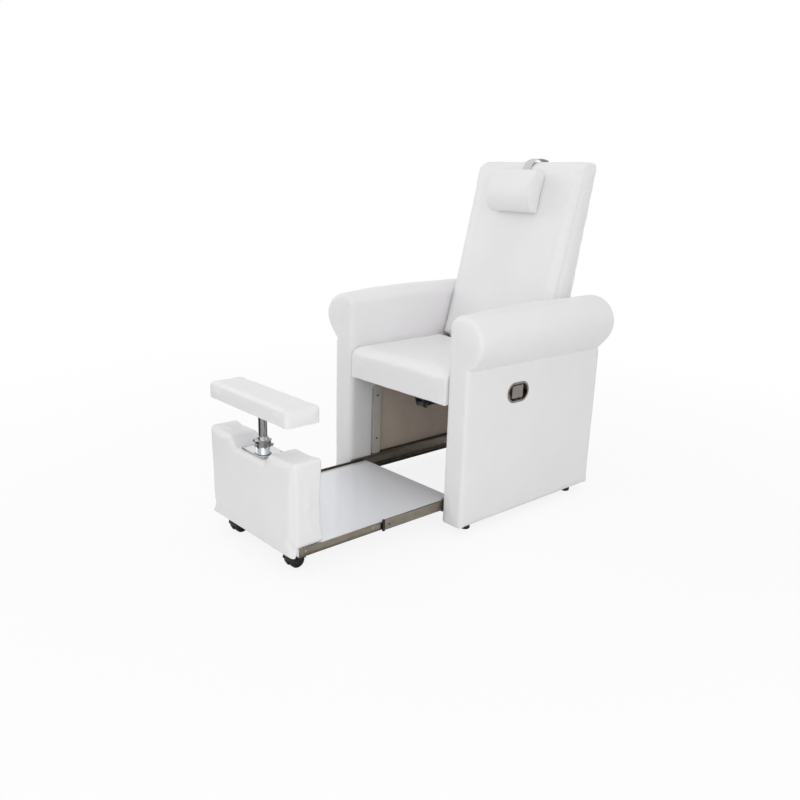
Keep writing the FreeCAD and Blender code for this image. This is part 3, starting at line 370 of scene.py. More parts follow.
def arc(centre: Point2, radius: float, start: float, end: float, steps: int) -> list[Point2]:
    """Points along an arc, in degrees, both ends included."""
    turns = np.radians(np.linspace(start, end, steps + 1))
    return [(centre[0] + radius * math.cos(t), centre[1] + radius * math.sin(t)) for t in turns]


def soft_rectangle(u0: float, u1: float, v0: float, v1: float, low: float, high: float) -> list[Point2]:
    """A rectangle with round corners.

    Args:
        u0: Lowest u.
        u1: Highest u.
        v0: Lowest v.
        v1: Highest v.
        low: Corner radius at v0.
        high: Corner radius at v1.

    Returns:
        Its corner points, counter-clockwise, the same count for every size.
    """
    return [*arc((u1 - low, v0 + low), low, -90, 0, 5), *arc((u1 - high, v1 - high), high, 0, 90, 5),
            *arc((u0 + high, v1 - high), high, 90, 180, 5), *arc((u0 + low, v0 + low), low, 180, 270, 5)]


def end_stations(half: float, radius: float) -> list[tuple[float, float]]:
    """Places along a cushion from end to end, each with how far its outline is drawn in."""
    turns = [math.radians(90.0 * i / (END_POINTS - 1)) for i in range(END_POINTS)]
    end = [(half - radius * (1 - math.cos(t)), radius * (1 - math.sin(t))) for t in turns]
    inner = [(half * part, 0.0) for part in (0.6, 0.2, -0.2, -0.6)]
    return end + inner + [(-s, d) for s, d in reversed(end)]


def evaluated_mesh(piece: bpy.types.Object) -> bpy.types.Mesh:
    """A piece's mesh with its modifiers applied."""
    graph = bpy.context.evaluated_depsgraph_get()
    return bpy.data.meshes.new_from_object(piece.evaluated_get(graph))


def apply_modifiers(piece: bpy.types.Object) -> None:
    """Bakes a piece's modifiers into its mesh."""
    made = evaluated_mesh(piece)
    piece.modifiers.clear()
    old = piece.data
    piece.data = made
    made.name = piece.name
    bpy.data.meshes.remove(old)


@dataclass
class Foam:
    """How a soft form is meshed and filled.

    Args:
        voxel: Edge of the remesh cells, in metres.
        swell: Most that a point may move, along each axis.
        pressure: Filling pressure of the cloth run.
        frames: Steps of the cloth run.
        low: Lowest corner that the filled form may reach.
        high: Highest corner that the filled form may reach.
        smooth: Rounds of smoothing before the filling.
    """

    voxel: float
    swell: tuple[float, float, float]
    pressure: float = 4.0
    frames: int = 20
    low: Vector = field(default_factory=lambda: Vector((-9.0,) * 3))
    high: Vector = field(default_factory=lambda: Vector((9.0,) * 3))
    smooth: int = 4

    def fill(self, piece: bpy.types.Object) -> None:
        """Remeshes, smooths and inflates a piece, then divides its faces once.

        Args:
            piece: A closed mesh in its own upright frame.
        """
        remesh = piece.modifiers.new("cells", "REMESH")
        remesh.mode = "VOXEL"
        remesh.voxel_size = self.voxel
        apply_modifiers(piece)
        evener = piece.modifiers.new("evener", "SMOOTH")
        evener.iterations = self.smooth
        evener.factor = 0.5
        apply_modifiers(piece)
        self._inflate(piece)
        held = np.clip(coordinates(piece.data), np.array(self.low), np.array(self.high))
        set_coordinates(piece.data, held)
        finer = piece.modifiers.new("finer", "SUBSURF")
        finer.levels = finer.render_levels = 1
        apply_modifiers(piece)
        shade_smooth(piece)

    def _inflate(self, piece: bpy.types.Object) -> None:
        """Runs the cloth with pressure and no gravity, and keeps each point near where it was."""
        scene = bpy.context.scene
        before = coordinates(piece.data)
        cloth = piece.modifiers.new("filling", "CLOTH")
        cloth.settings.use_pressure = True
        cloth.settings.uniform_pressure_force = self.pressure
        cloth.settings.effector_weights.gravity = 0.0
        cloth.settings.tension_stiffness = 18.0
        cloth.settings.compression_stiffness = 14.0
        cloth.settings.bending_stiffness = 0.6
        cloth.settings.quality = 4
        cloth.collision_settings.use_collision = False
        cloth.point_cache.frame_start = 1
        cloth.point_cache.frame_end = self.frames
        for step in range(1, self.frames + 1):
            scene.frame_set(step)
        after = evaluated_mesh(piece)
        moved = coordinates(after) - before
        bpy.data.meshes.remove(after)
        piece.modifiers.clear()
        scene.frame_set(1)
        cap = np.array(self.swell)
        set_coordinates(piece.data, before + cap * np.tanh(moved / cap))


class Surface:
    """A mesh's surface, to lay seams and stitches on."""

    def __init__(self, piece: bpy.types.Object) -> None:
        """Reads the surface.

        Args:
            piece: The piece whose mesh is read.
        """
        self.tree = BVHTree.FromPolygons([v.co.copy() for v in piece.data.vertices],
                                         [tuple(p.vertices) for p in piece.data.polygons])

    def lay(self, path: Iterable[Vector]) -> tuple[list[Vector], list[Vector]]:
        """Moves points onto the surface.

        Args:
            path: Points near the surface.

        Returns:
            The points on it, and the surface's normal at each.
        """
        found = [self.tree.find_nearest(p) for p in path]
        return [f[0] for f in found], [f[1] for f in found]


def resampled(path: Sequence[Vector], pitch: float) -> list[Vector]:
    """Divides a path evenly.

    Args:
        path: Points of a polyline.
        pitch: Wanted spacing.

    Returns:
        Evenly spaced points.
    """
    rows = np.array([tuple(p) for p in path])
    steps = np.linalg.norm(np.diff(rows, axis=0), axis=1)
    run = np.concatenate([[0.0], np.cumsum(steps)])
    count = max(2, round(run[-1] / pitch) + 1)
    wanted = np.linspace(0.0, run[-1], count)
    return [Vector([np.interp(s, run, rows[:, i]) for i in range(3)]) for s in wanted]


@dataclass
class Seam:
    """A sewn line on a soft piece.

    Args:
        path: Points near the surface, in the piece's own frame.
        depth: How deep the seam draws the cover in. Below zero, it raises a ridge.
        width: Reach of that dip to either side.
        pucker: Height of the small gathers along it.
        pucker_pitch: Spacing of those gathers.
        pucker_reach: How far they run out from the seam.
    """

    path: Sequence[Vector]
    depth: float
    width: float
    pucker: float = 0.0
    pucker_pitch: float = 0.022
    pucker_reach: float = 0.02

    def press(self, piece: bpy.types.Object) -> None:
        """Draws the cover in along the seam and gathers it beside it.

        Args:
            piece: The filled piece.
        """
        points, _ = Surface(piece).lay(resampled(self.path, SEAM_STEP))
        tree = KDTree(len(points))
        for i, p in enumerate(points):
            tree.insert(p, i)
        tree.balance()
        rows, outward = coordinates(piece.data), normals(piece.data)
        reach = max(4 * self.width, 3 * self.pucker_reach if self.pucker else 0.0)
        for i, row in enumerate(rows):
            _, number, gap = tree.find(Vector(row))
            if gap > reach:
                continue
            dip = self.depth * math.exp(-(gap / self.width) ** 2)
            if self.pucker:
                run = number * SEAM_STEP / self.pucker_pitch
                wave = math.sin(2 * math.pi * (run + 0.23 * math.sin(1.7 * run)))
                dip += self.pucker * wave * math.exp(-gap / self.pucker_reach) * min(1.0, gap / 0.004)
            rows[i] = row - outward[i] * dip
        set_coordinates(piece.data, rows)


def capsule(points: list[Vector], faces: list[tuple[int, ...]], centre: Vector, along: Vector, up: Vector,
            length: float, radius: float) -> None:
    """Adds one stitch, a short six-sided thread that dips at both ends.

    Args:
        points: Vertex list that grows.
        faces: Face list that grows.
        centre: Middle of the stitch.
        along: Its direction.
        up: The surface's normal.
        length: Its length.
        radius: Half the thread's thickness.
    """
    across = along.cross(up).normalized()
    first = len(points)
    profile = ((-0.5, 0.35, -0.9), (-0.3, 0.9, 0.1), (0.0, 1.0, 0.45), (0.3, 0.9, 0.1), (0.5, 0.35, -0.9))
    for place, width, lift in profile:
        middle = centre + along * (place * length) + up * (lift * radius)
        for k in range(THREAD_SIDES):
            a = math.radians(360 * k / THREAD_SIDES)
            points.append(middle + (across * math.cos(a) + up * math.sin(a)) * (radius * width))
    last = len(points) - THREAD_SIDES
    for start in range(first, last, THREAD_SIDES):
        for k in range(THREAD_SIDES):
            a, b = start + k, start + (k + 1) % THREAD_SIDES
            faces.append((a, b, b + THREAD_SIDES, a + THREAD_SIDES))
    faces.append(tuple(first + k for k in reversed(range(THREAD_SIDES))))
    faces.append(tuple(last + k for k in range(THREAD_SIDES)))


def sew(name: str, cover: bpy.types.Object, paths: Iterable[Sequence[Vector]], pitch: float = 0.0065,
        thread: float = 0.0006) -> bpy.types.Object:
    """Lays stitches along paths on a cover.

    Args:
        name: Name of the stitching.
        cover: The piece that it is sewn on.
        paths: Points near the surface for each row of stitches.
        pitch: Length of one stitch and its gap.
        thread: Half the thread's thickness.

    Returns:
        One object that holds every stitch.
    """
    surface = Surface(cover)
    points: list[Vector] = []
    faces: list[tuple[int, ...]] = []
    for path in paths:
        places, ups = surface.lay(resampled(path, pitch))
        for i in range(len(places) - 1):
            along = places[i + 1] - places[i]
            if along.length < pitch * 0.3:
                continue
            along.normalize()
            capsule(points, faces, (places[i] + places[i + 1]) / 2, along, ups[i], pitch * 0.72, thread)
    piece = new_object(name, points, faces)
    shade_smooth(piece)
    return piece


def cut_away(piece: bpy.types.Object, cutter: bpy.types.Object) -> None:
    """Cuts a closed form out of a piece and removes the cutter."""
    cut = piece.modifiers.new("cut", "BOOLEAN")
    cut.operation = "DIFFERENCE"
    cut.object = cutter
    cut.solver = "EXACT"
    apply_modifiers(piece)
    bpy.data.objects.remove(cutter)


def finish_piece(piece: bpy.types.Object, finish: Finish, body: str, replaced: Sequence[str] = ()) -> None:
    """Gives a cover or its stitches their material, body and slot, and hides the nodes that they stand for.

    Args:
        piece: The piece, in place.
        finish: Its surface finish.
        body: The body that it rides on.
        replaced: Nodes that it replaces.
    """
    piece.data.materials.clear()
    piece.data.materials.append(PALETTE.get(finish))
    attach(piece, body)
    if replaced:
        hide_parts(*replaced)
    LOG.info("%s: %d faces", piece.name, len(piece.data.polygons))


@dataclass
class Arms:
    """Both arms: panel, front post and roll under one cover, with a bay in the inner side."""

    skin: float = 0.3 * MM
    inner_edge: float = 16.0 * MM
    outer_edge: float = 9.0 * MM
    bay_edge: float = 13.0 * MM
    roll_end: float = 16.0 * MM
    front_drop: float = 22.0 * MM
    drop_reach: float = 380.0 * MM
    post_depth: float = 128.0 * MM
    rear_post: float = 126.0 * MM
    recess_top: float = 395.0 * MM
    recess_x: float = 330.0 * MM
    roll_centre: Point2 = (309.0 * MM, 686.0 * MM)
    roll_radius: float = 98.0 * MM
    crown_side: float = 74.0 * MM
    neck_x: float = 350.0 * MM

    def build(self) -> None:
        """Makes, dresses and places both arms."""
        for side in Side:
            self._arm(side)

    def _plan(self, low: Vector, high: Vector, recessed: bool) -> list[Point2]:
        """Outline of the right panel seen from above, with or without the bay in its inner side."""
        s, a, b, c = self.skin, self.inner_edge, self.outer_edge, self.bay_edge
        x0, x1, y0, y1 = low.x + s, high.x - s, low.y + s, high.y - s
        front = [*arc((x0 + a, y0 + a), a, 180, 270, 7), *arc((x1 - b, y0 + b), b, 270, 360, 7)]
        back = [*arc((x1 - b, y1 - b), b, 0, 90, 7), *arc((x0 + b, y1 - b), b, 90, 180, 7)]
        if not recessed:
            return front + back
        bay0, bay1 = low.y + self.post_depth - s, high.y - self.rear_post + s
        bay = [(x0, bay1 + c), *arc((x0 + c, bay1 + c), c, 180, 270, 4)[1:], (self.recess_x, bay1),
               (self.recess_x, bay0), *arc((x0 + c, bay0 - c), c, 90, 180, 4)]
        return front + back + bay

    def _arm(self, side: Side) -> None:
        """One arm: the panel's two storeys and the roll, grown together and filled."""
        low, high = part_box("arm_cover_right")
        roll_low, roll_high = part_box("arm_roll_right")
        blocks = []
        storeys = ((True, low.z - HEM, self.recess_top),
                   (False, self.recess_top - 2 * MM, self.roll_centre[1]))
        for recessed, z0, z1 in storeys:
            plan = self._plan(low, high, recessed)
            rings = [[Vector((side.value * x, y, z)) for x, y in plan] for z in (z0, z1)]
            blocks.append(skin_rings("storey", rings if side is Side.RIGHT else [r[::-1] for r in rings]))
        blocks.append(self._roll(side))
        arm = joined("upholstered_arm_%s" % side.label, blocks)
        inside, outside = sorted((side.value * (low.x - 0.2 * MM), side.value * (roll_high.x + 3.0 * MM)))
        Foam(voxel=8 * MM, swell=(0.0015, 0.004, 0.004), low=Vector((inside, low.y - 3 * MM, low.z)),
             high=Vector((outside, high.y + 3 * MM, roll_high.z + 3 * MM)), smooth=2, frames=14).fill(arm)
        self._sew(side, arm, low, high, roll_low.z)
        if side is Side.RIGHT:
            self._cut_cup(arm)
        finish_piece(arm, LEATHER, "base", ["arm_cover_%s" % side.label, "arm_roll_%s" % side.label])

    def _sew(self, side: Side, arm: bpy.types.Object, low: Vector, high: Vector, seam: float) -> None:
        """Creases the cover under the roll and raises the joins down the outer corners."""
        out = side.value * high.x
        crease = [Vector((out, y, seam)) for y in (low.y + 6 * MM, high.y - 6 * MM)]
        Seam(crease, depth=0.0045, width=0.006, pucker=0.0009, pucker_pitch=0.034,
             pucker_reach=0.022).press(arm)
        for y in (low.y + 2 * MM, high.y - 2 * MM):
            corner = [Vector((out - side.value * 2 * MM, y, z)) for z in (seam - 12 * MM, low.z + 4 * MM)]
            Seam(corner, depth=-0.0012, width=0.004, pucker=0.0007, pucker_pitch=0.041,
                 pucker_reach=0.012).press(arm)

    def _cut_cup(self, arm: bpy.types.Object) -> None:
        """Opens the panel where the release cup is let in."""
        low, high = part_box("release_cup")
        y, z = (low.y + high.y) / 2, (low.z + high.z) / 2
        length, height = high.y - low.y - 3 * MM, high.z - low.z - 3 * MM
        r = height / 2
        half = length / 2 - r
        oval = [*arc((y + half, z), r, -90, 90, 14), *arc((y - half, z), r, 90, 270, 14)]
        rings = [[Vector((x, p[0], p[1])) for p in oval] for x in (low.x - 1 * MM, high.x + 20 * MM)]
        cut_away(arm, skin_rings("cup_cutter", rings))

    def _roll_ring(self, side: Side, y: float, inset: float, drop: float) -> Ring:
        """Outline of the roll at one place along the arm, its crown lowered by drop."""
        low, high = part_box("arm_roll_right")
        cx, cz = self.roll_centre
        r = self.roll_radius - self.skin
        x0, z0 = low.x + self.skin, low.z
        inner_top = cz + self.crown_side
        upper = arc((cx, cz), r, -40, 104, 30)
        shoulder = smooth_bend((x0 + 12 * MM, inner_top + 6 * MM), (x0, inner_top),
                               (x0, inner_top - 36 * MM), 4)
        loop = [(x0 + 12 * MM, z0), (self.neck_x, z0), *upper, *shoulder, (x0, z0 + 12 * MM)]
        sx, sz = 1 - inset / self.roll_radius, 1 - (inset + drop) / (high.z - z0)
        ring = [Vector((side.value * (cx + (x - cx) * sx), y, z0 + (z - z0) * sz)) for x, z in loop]
        return ring if side is Side.RIGHT else ring[::-1]

    def _roll(self, side: Side) -> bpy.types.Object:
        """Padded roll along the top of the arm, before it is joined to the panel."""
        low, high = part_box("arm_roll_right")
        middle, half = (low.y + high.y) / 2, (high.y - low.y) / 2 - self.skin
        ends = end_stations(half, self.roll_end)
        inner = [(half * part, 0.0) for part in (0.85, 0.7, 0.5, 0.25, 0.0, -0.3, -0.6)]
        stations = ends[:END_POINTS] + inner + ends[-END_POINTS:]
        rings = [self._roll_ring(side, middle - s, d, self._drop(half - s)) for s, d in stations]
        return skin_rings("roll", rings)

    def _drop(self, back: float) -> float:
        """How far the crown has sagged at a distance back from the roll's front end."""
        return self.front_drop * max(0.0, 1 - back / self.drop_reach) ** 1.5


def smooth_bend(start: Point2, corner: Point2, end: Point2, steps: int) -> list[Point2]:
    """Points along a bend that leaves start towards corner and arrives at end from it."""
    points = []
    for i in range(steps + 1):
        t = i / steps
        points.append(tuple((1 - t) ** 2 * a + 2 * t * (1 - t) * b + t ** 2 * c
                            for a, b, c in zip(start, corner, end)))
    return points


def joined(name: str, pieces: Sequence[bpy.types.Object]) -> bpy.types.Object:
    """Puts several meshes into one object.

    Args:
        name: Name of the result.
        pieces: Objects that are used up.

    Returns:
        The joined object.
    """
    points: list[Vector] = []
    faces: list[tuple[int, ...]] = []
    for piece in pieces:
        first = len(points)
        points.extend(v.co.copy() for v in piece.data.vertices)
        faces.extend(tuple(first + i for i in p.vertices) for p in piece.data.polygons)
        bpy.data.objects.remove(piece)
    return new_object(name, points, faces)


@dataclass
class Seat:
    """Seat cushion and the upholstered panel that closes the base behind."""

    edge: float = 26.0 * MM
    rear_edge: float = 9.0 * MM
    rear_rise: float = 5.0 * MM
    rear_lean: float = 6.0 * MM
    foot: float = 3.0 * MM
    side_edge: float = 9.0 * MM

    def build(self) -> None:
        """Makes, dresses and places the seat."""
        low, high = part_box("seat_cushion")
        half = high.x - 0.6 * MM
        rings = []
        for x, inset in end_stations(half, self.side_edge):
            y0, y1 = low.y + 2.0 * MM + inset * 0.15, high.y - 8 * MM
            z0, z1 = low.z - HEM, high.z - 11 * MM - inset
            front = soft_rectangle(y0, y1, z0, z1, self.foot, self.edge)
            rear = [(y + self.rear_lean * (2 * (z - z0) / (z1 - z0) - 1), z)
                    for y, z in soft_rectangle(y0, y1, z0, z1 + self.rear_rise, self.foot, self.rear_edge)]
            outline = [r if f[0] > (y0 + y1) / 2 else f for f, r in zip(front, rear)]
            rings.append([Vector((x, y, z)) for y, z in outline])
        seat = skin_rings("upholstered_seat", rings)
        Foam(voxel=7 * MM, swell=(0.001, 0.004, 0.012), low=Vector((low.x, low.y - 2 * MM, low.z)),
             high=Vector((high.x, high.y, high.z + 4 * MM)), smooth=2).fill(seat)
        finish_piece(seat, LEATHER, "base", ["seat_cushion"])
        self._rear_panel()

    def _rear_panel(self) -> None:
        """Flat padded panel behind the drawer bay."""
        low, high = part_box("rear_panel")
        rings = []
        for y, inset in end_stations((high.y - low.y) / 2 - 0.5 * MM, 7 * MM):
            outline = soft_rectangle(low.x + inset + 1 * MM, high.x - inset - 1 * MM, low.z + inset,
                                     high.z - inset, 12 * MM, 12 * MM)
            rings.append([Vector((x, (low.y + high.y) / 2 - y, z)) for x, z in outline])
        panel = skin_rings("upholstered_rear_panel", rings)
        Foam(voxel=7 * MM, swell=(0.001, 0.003, 0.001), low=low - Vector((0, 2 * MM, 0)),
             high=high + Vector((0, 2 * MM, 0))).fill(panel)
        finish_piece(panel, LEATHER, "base", ["rear_panel"])


# Stations of the back pad: height above the recline axis and how far its outline is drawn in there, in mm.
PAD_STATIONS = ((-46, 8), (-40, 3), (-20, 0.5), (0, 0), (42, 0), (50, 0), (260, 0), (430, 0), (690, 0),
                (740, 0.8), (752, 4), (760, 10), (763, 17))


def share(value: float, start: float, end: float) -> float:
    """How far value has come from start to end, held between zero and one."""
    return min(1.0, max(0.0, (value - start) / (end - start)))


@dataclass
class Back:
    """Reclining back: pad, rear panel, neck pillow and its strap, in the back's own upright frame."""

    tilt: float = math.radians(14.63)
    taper: float = 0.082
    front: float = -98.7 * MM
    rear: float = 50.0 * MM
    board: float = 32.2 * MM
    top: float = 756.0 * MM
    half: float = 255.5 * MM
    neck_half: float = 212.0 * MM
    neck_top: float = 46.0 * MM
    crown: float = 8.0 * MM
    flare: float = 6.0 * MM
    flare_low: float = 260.0 * MM
    crest: float = 22.0 * MM
    crest_low: float = 640.0 * MM
    nose: float = 17.0 * MM
    nose_low: float = 715.0 * MM
    front_edge: float = 13.0 * MM
    rear_edge: float = 6.0 * MM
    proud: float = 2.0 * MM
    pillow_low: float = 553.0 * MM
    pillow_high: float = 722.0 * MM
    pillow_half: float = 107.0 * MM
    pillow_reach: float = 74.0 * MM
    pillow_round: float = 0.72
    cover_half: float = 236.0 * MM
    cover_low: float = 68.0 * MM
    cover_high: float = 734.0 * MM
    cover_corner: float = 18.0 * MM
    cover_proud: float = 3.0 * MM
    strap_half: float = 19.6 * MM
    strap_thick: float = 1.1 * MM
    strap_gap: float = 6.5 * MM

    @property
    def place(self) -> Matrix:
        """From the back's own frame, with its origin on the recline axis, to the chair's."""
        pivot = next(j["pos_m"] for j in frame["joints"] if j["name"] == "backrest_recline")
        return Matrix.Translation(Vector((0.0, pivot[1], pivot[2]))) @ Matrix.Rotation(-self.tilt, 4, "X")

    def build(self) -> None:
        """Makes, dresses and places all of the back."""
        self._pad()
        self._rear_cover()
        self._pillow()
        self._strap()

    def _hang(self, body: str, *pieces: tuple[bpy.types.Object, Finish, list[str]]) -> None:
        """Turns pieces from the back's own frame into the chair's and dresses them.

        Args:
            body: The body that they ride on.
            pieces: Each piece with its finish and the nodes that it replaces.
        """
        for piece, finish, nodes in pieces:
            piece.data.transform(self.place)
            finish_piece(piece, finish, body, nodes)

    def _section(self, up: float, draw: float) -> Ring:
        """Cross outline of the pad at a height, drawn in by draw."""
        front = self.front if up >= 0 else -math.sqrt(self.front ** 2 - up ** 2)
        rear = self.rear - self.taper * up
        half = (self.half if up > self.neck_top else self.neck_half) - draw
        half += self.flare * share(up, self.flare_low, self.top)
        nose = self.nose * (1 - math.sqrt(1 - share(up, self.nose_low, self.top) ** 2))
        outline = soft_rectangle(-half, half, front + nose + draw * 0.6 - self.proud,
                                 rear - draw * 0.35 + self.proud, self.front_edge, self.rear_edge)
        climb = self.crest * share(up, self.crest_low, self.top) ** 2
        return [Vector((x, y, up + climb * (y - front) / (rear - front))) for x, y in outline]

    def _pad(self) -> None:
        """Front pad with its boxing, narrow at the foot between the hinges."""
        pad = skin_rings("upholstered_back_pad", [self._section(w * MM, d * MM) for w, d in PAD_STATIONS])
        reach = self.half + self.flare + 3 * MM
        Foam(voxel=7 * MM, swell=(0.003, 0.009, 0.003), low=Vector((-reach, -0.115, -0.06)),
             high=Vector((reach, 0.06, self.top + self.crest + 9 * MM)), smooth=1, frames=14).fill(pad)
        rows = coordinates(pad.data)
        rows[:, 1] = np.minimum(rows[:, 1], self.rear - self.taper * rows[:, 2] + self.proud)
        set_coordinates(pad.data, rows)
        edge, face = self.half - 4 * MM, self.front + 5 * MM
        ridge = [Vector((s * edge, face, w)) for s, w in
                 ((-1, 0.07), (-1, self.top - 22 * MM), (1, self.top - 22 * MM), (1, 0.07))]
        Seam(ridge, depth=-0.0014, width=0.0045, pucker=0.0006, pucker_pitch=0.03).press(pad)
        beside = [Vector((s * self.half, face + 13 * MM, w)) for s, w in
                  ((-1, 0.07), (-1, self.top + 6 * MM), (1, self.top + 6 * MM), (1, 0.07))]
        Seam(beside, depth=0.0008, width=0.003).press(pad)
        stitches = sew("back_pad_stitches", pad, [[p + Vector((0, 4 * MM, 0)) for p in beside]])
        self._hang("backrest", (pad, LEATHER, ["backrest_pad"]), (stitches, THREAD, []))

    def _rear_cover(self) -> None:
        """Flat panel over the plywood behind."""
        tilt = self.tilt - math.atan(self.taper)
        back = Matrix.Translation(self.place.translation) @ Matrix.Rotation(-tilt, 4, "X")
        rear = self.rear * math.cos(math.atan(self.taper))
        half = (rear - self.board) / 2 - 0.5 * MM
        rings = []
        for y, inset in end_stations(half, 5 * MM):
            width = self.cover_half - inset
            outline = soft_rectangle(-width, width, self.cover_low + inset, self.cover_high - inset,
                                     self.cover_corner, self.cover_corner)
            rings.append([Vector((x, rear + self.cover_proud - half - y, z)) for x, z in outline])
        cover = skin_rings("upholstered_back_rear", rings)
        Foam(voxel=7 * MM, swell=(0.001, 0.002, 0.001), smooth=1, frames=10).fill(cover)
        cover.data.transform(back)
        finish_piece(cover, LEATHER, "backrest", ["backrest_rear_panel"])

    def _pillow(self) -> None:
        """Half-round neck pillow with D-shaped end caps sewn in."""
        base = self.front - self.crown - 4.1 * MM
        low, high = self.pillow_low, self.pillow_high
        mid = (low + high) / 2
        angles = np.radians(np.linspace(-88, 88, 25))
        rings = []
        for x, inset in end_stations(self.pillow_half - 1.5 * MM, 7 * MM):
            reach, tall = self.pillow_reach - inset, (high - low) / 2 - 2 * MM - inset * 0.8
            curve = [(reach * math.cos(a) ** self.pillow_round, tall * math.sin(a)) for a in angles]
            loop = [(base, mid - tall + 6 * MM), *[(base - 4 * MM - u, mid + v) for u, v in curve],
                    (base, mid + tall - 6 * MM)]
            rings.append([Vector((-x, y, z)) for y, z in loop])
        pillow = skin_rings("upholstered_neck_pillow", rings)
        reach_x = self.pillow_half + 3 * MM
        Foam(voxel=4.5 * MM, swell=(0.003, 0.002, 0.004),
             low=Vector((-reach_x, base - self.pillow_reach - 10 * MM, low - 2 * MM)),
             high=Vector((reach_x, base + 0.6 * MM, high + 2 * MM)), smooth=2).fill(pillow)
        tall = (high - low) / 2 - 1 * MM
        rims = []
        for side in Side:
            rim = [Vector((side.value * (self.pillow_half - 1 * MM),
                           base - 4 * MM - 76 * MM * math.cos(a) ** self.pillow_round,
                           mid + tall * math.sin(a))) for a in angles]
            Seam(rim, depth=-0.0013, width=0.003, pucker=0.0007, pucker_pitch=0.016,
                 pucker_reach=0.012).press(pillow)
            inner = [Vector((side.value * (self.pillow_half - 8 * MM), p.y, p.z)) for p in rim]
            Seam(inner, depth=0.001, width=0.0025).press(pillow)
            rear = [Vector((side.value * self.pillow_half, base - 7 * MM, w))
                    for w in (low + 8 * MM, high - 8 * MM)]
            Seam(rear, depth=0.0028, width=0.0035).press(pillow)
            rims.append([p - Vector((side.value * 3.5 * MM, 0, 0)) for p in inner])
        stitches = sew("neck_pillow_stitches", pillow, rims, pitch=0.005, thread=0.0005)
        self._hang("head_pillow", (pillow, LEATHER, ["head_pillow"]), (stitches, THREAD, []))

    def _strap(self) -> None:
        """Flat strap over the top of the back, with sewn edges."""
        front = self.front - self.crown - 2.2 * MM
        rear = self.rear - self.taper * 600 * MM + self.strap_gap
        back = self.rear - self.taper * 735 * MM + self.strap_gap
        top = self.top + self.crest
        knots = [(front, 600 * MM), (front, 700 * MM), (front + 4 * MM, 742 * MM),
                 (front + 12 * MM, 762 * MM), (front + 31 * MM, 776 * MM), ((front + back) / 2, top + 8 * MM),
                 (back - 18 * MM, top + 13 * MM), (back - 3 * MM, top + 13 * MM),
                 (back - 1 * MM, top - 8 * MM), (back, 735 * MM), (rear, 600 * MM)]
        curve = smooth_path([Vector((0, y, z)) for y, z in knots], 60)
        half, thick = self.strap_half, self.strap_thick
        rings = []
        for i, p in enumerate(curve):
            ahead = (curve[min(i + 1, len(curve) - 1)] - curve[max(i - 1, 0)]).normalized()
            out = Vector((0, -ahead.z, ahead.y))
            outline = soft_rectangle(-half, half, -thick, thick, 0.8 * MM, 0.8 * MM)
            rings.append([p + Vector((u, 0, 0)) + out * v for u, v in outline])
        strap = skin_rings("neck_pillow_strap", rings)
        shade_smooth(strap)
        edges = [[p + Vector((s * (half - 3.5 * MM), 0, 0)) + Vector((0, -0.002, 0.002)) for p in curve]
                 for s in (-1, 1)]
        stitches = sew("strap_stitches", strap, edges, pitch=0.0045, thread=0.0005)
        self._hang("backrest", (strap, STRAP_CLOTH, ["headrest_strap"]), (stitches, THREAD, []))


def smooth_path(knots: Sequence[Vector], count: int) -> list[Vector]:
    """Rounds a polyline by three rounds of corner cutting and divides it into count even pieces."""
    points = list(knots)
    for _ in range(3):
        cut = [points[0]]
        for a, b in zip(points, points[1:]):
            cut.extend((a.lerp(b, 0.25), a.lerp(b, 0.75)))
        points = cut + [points[-1]]
    length = sum((b - a).length for a, b in zip(points, points[1:]))
    return resampled(points, length / count)


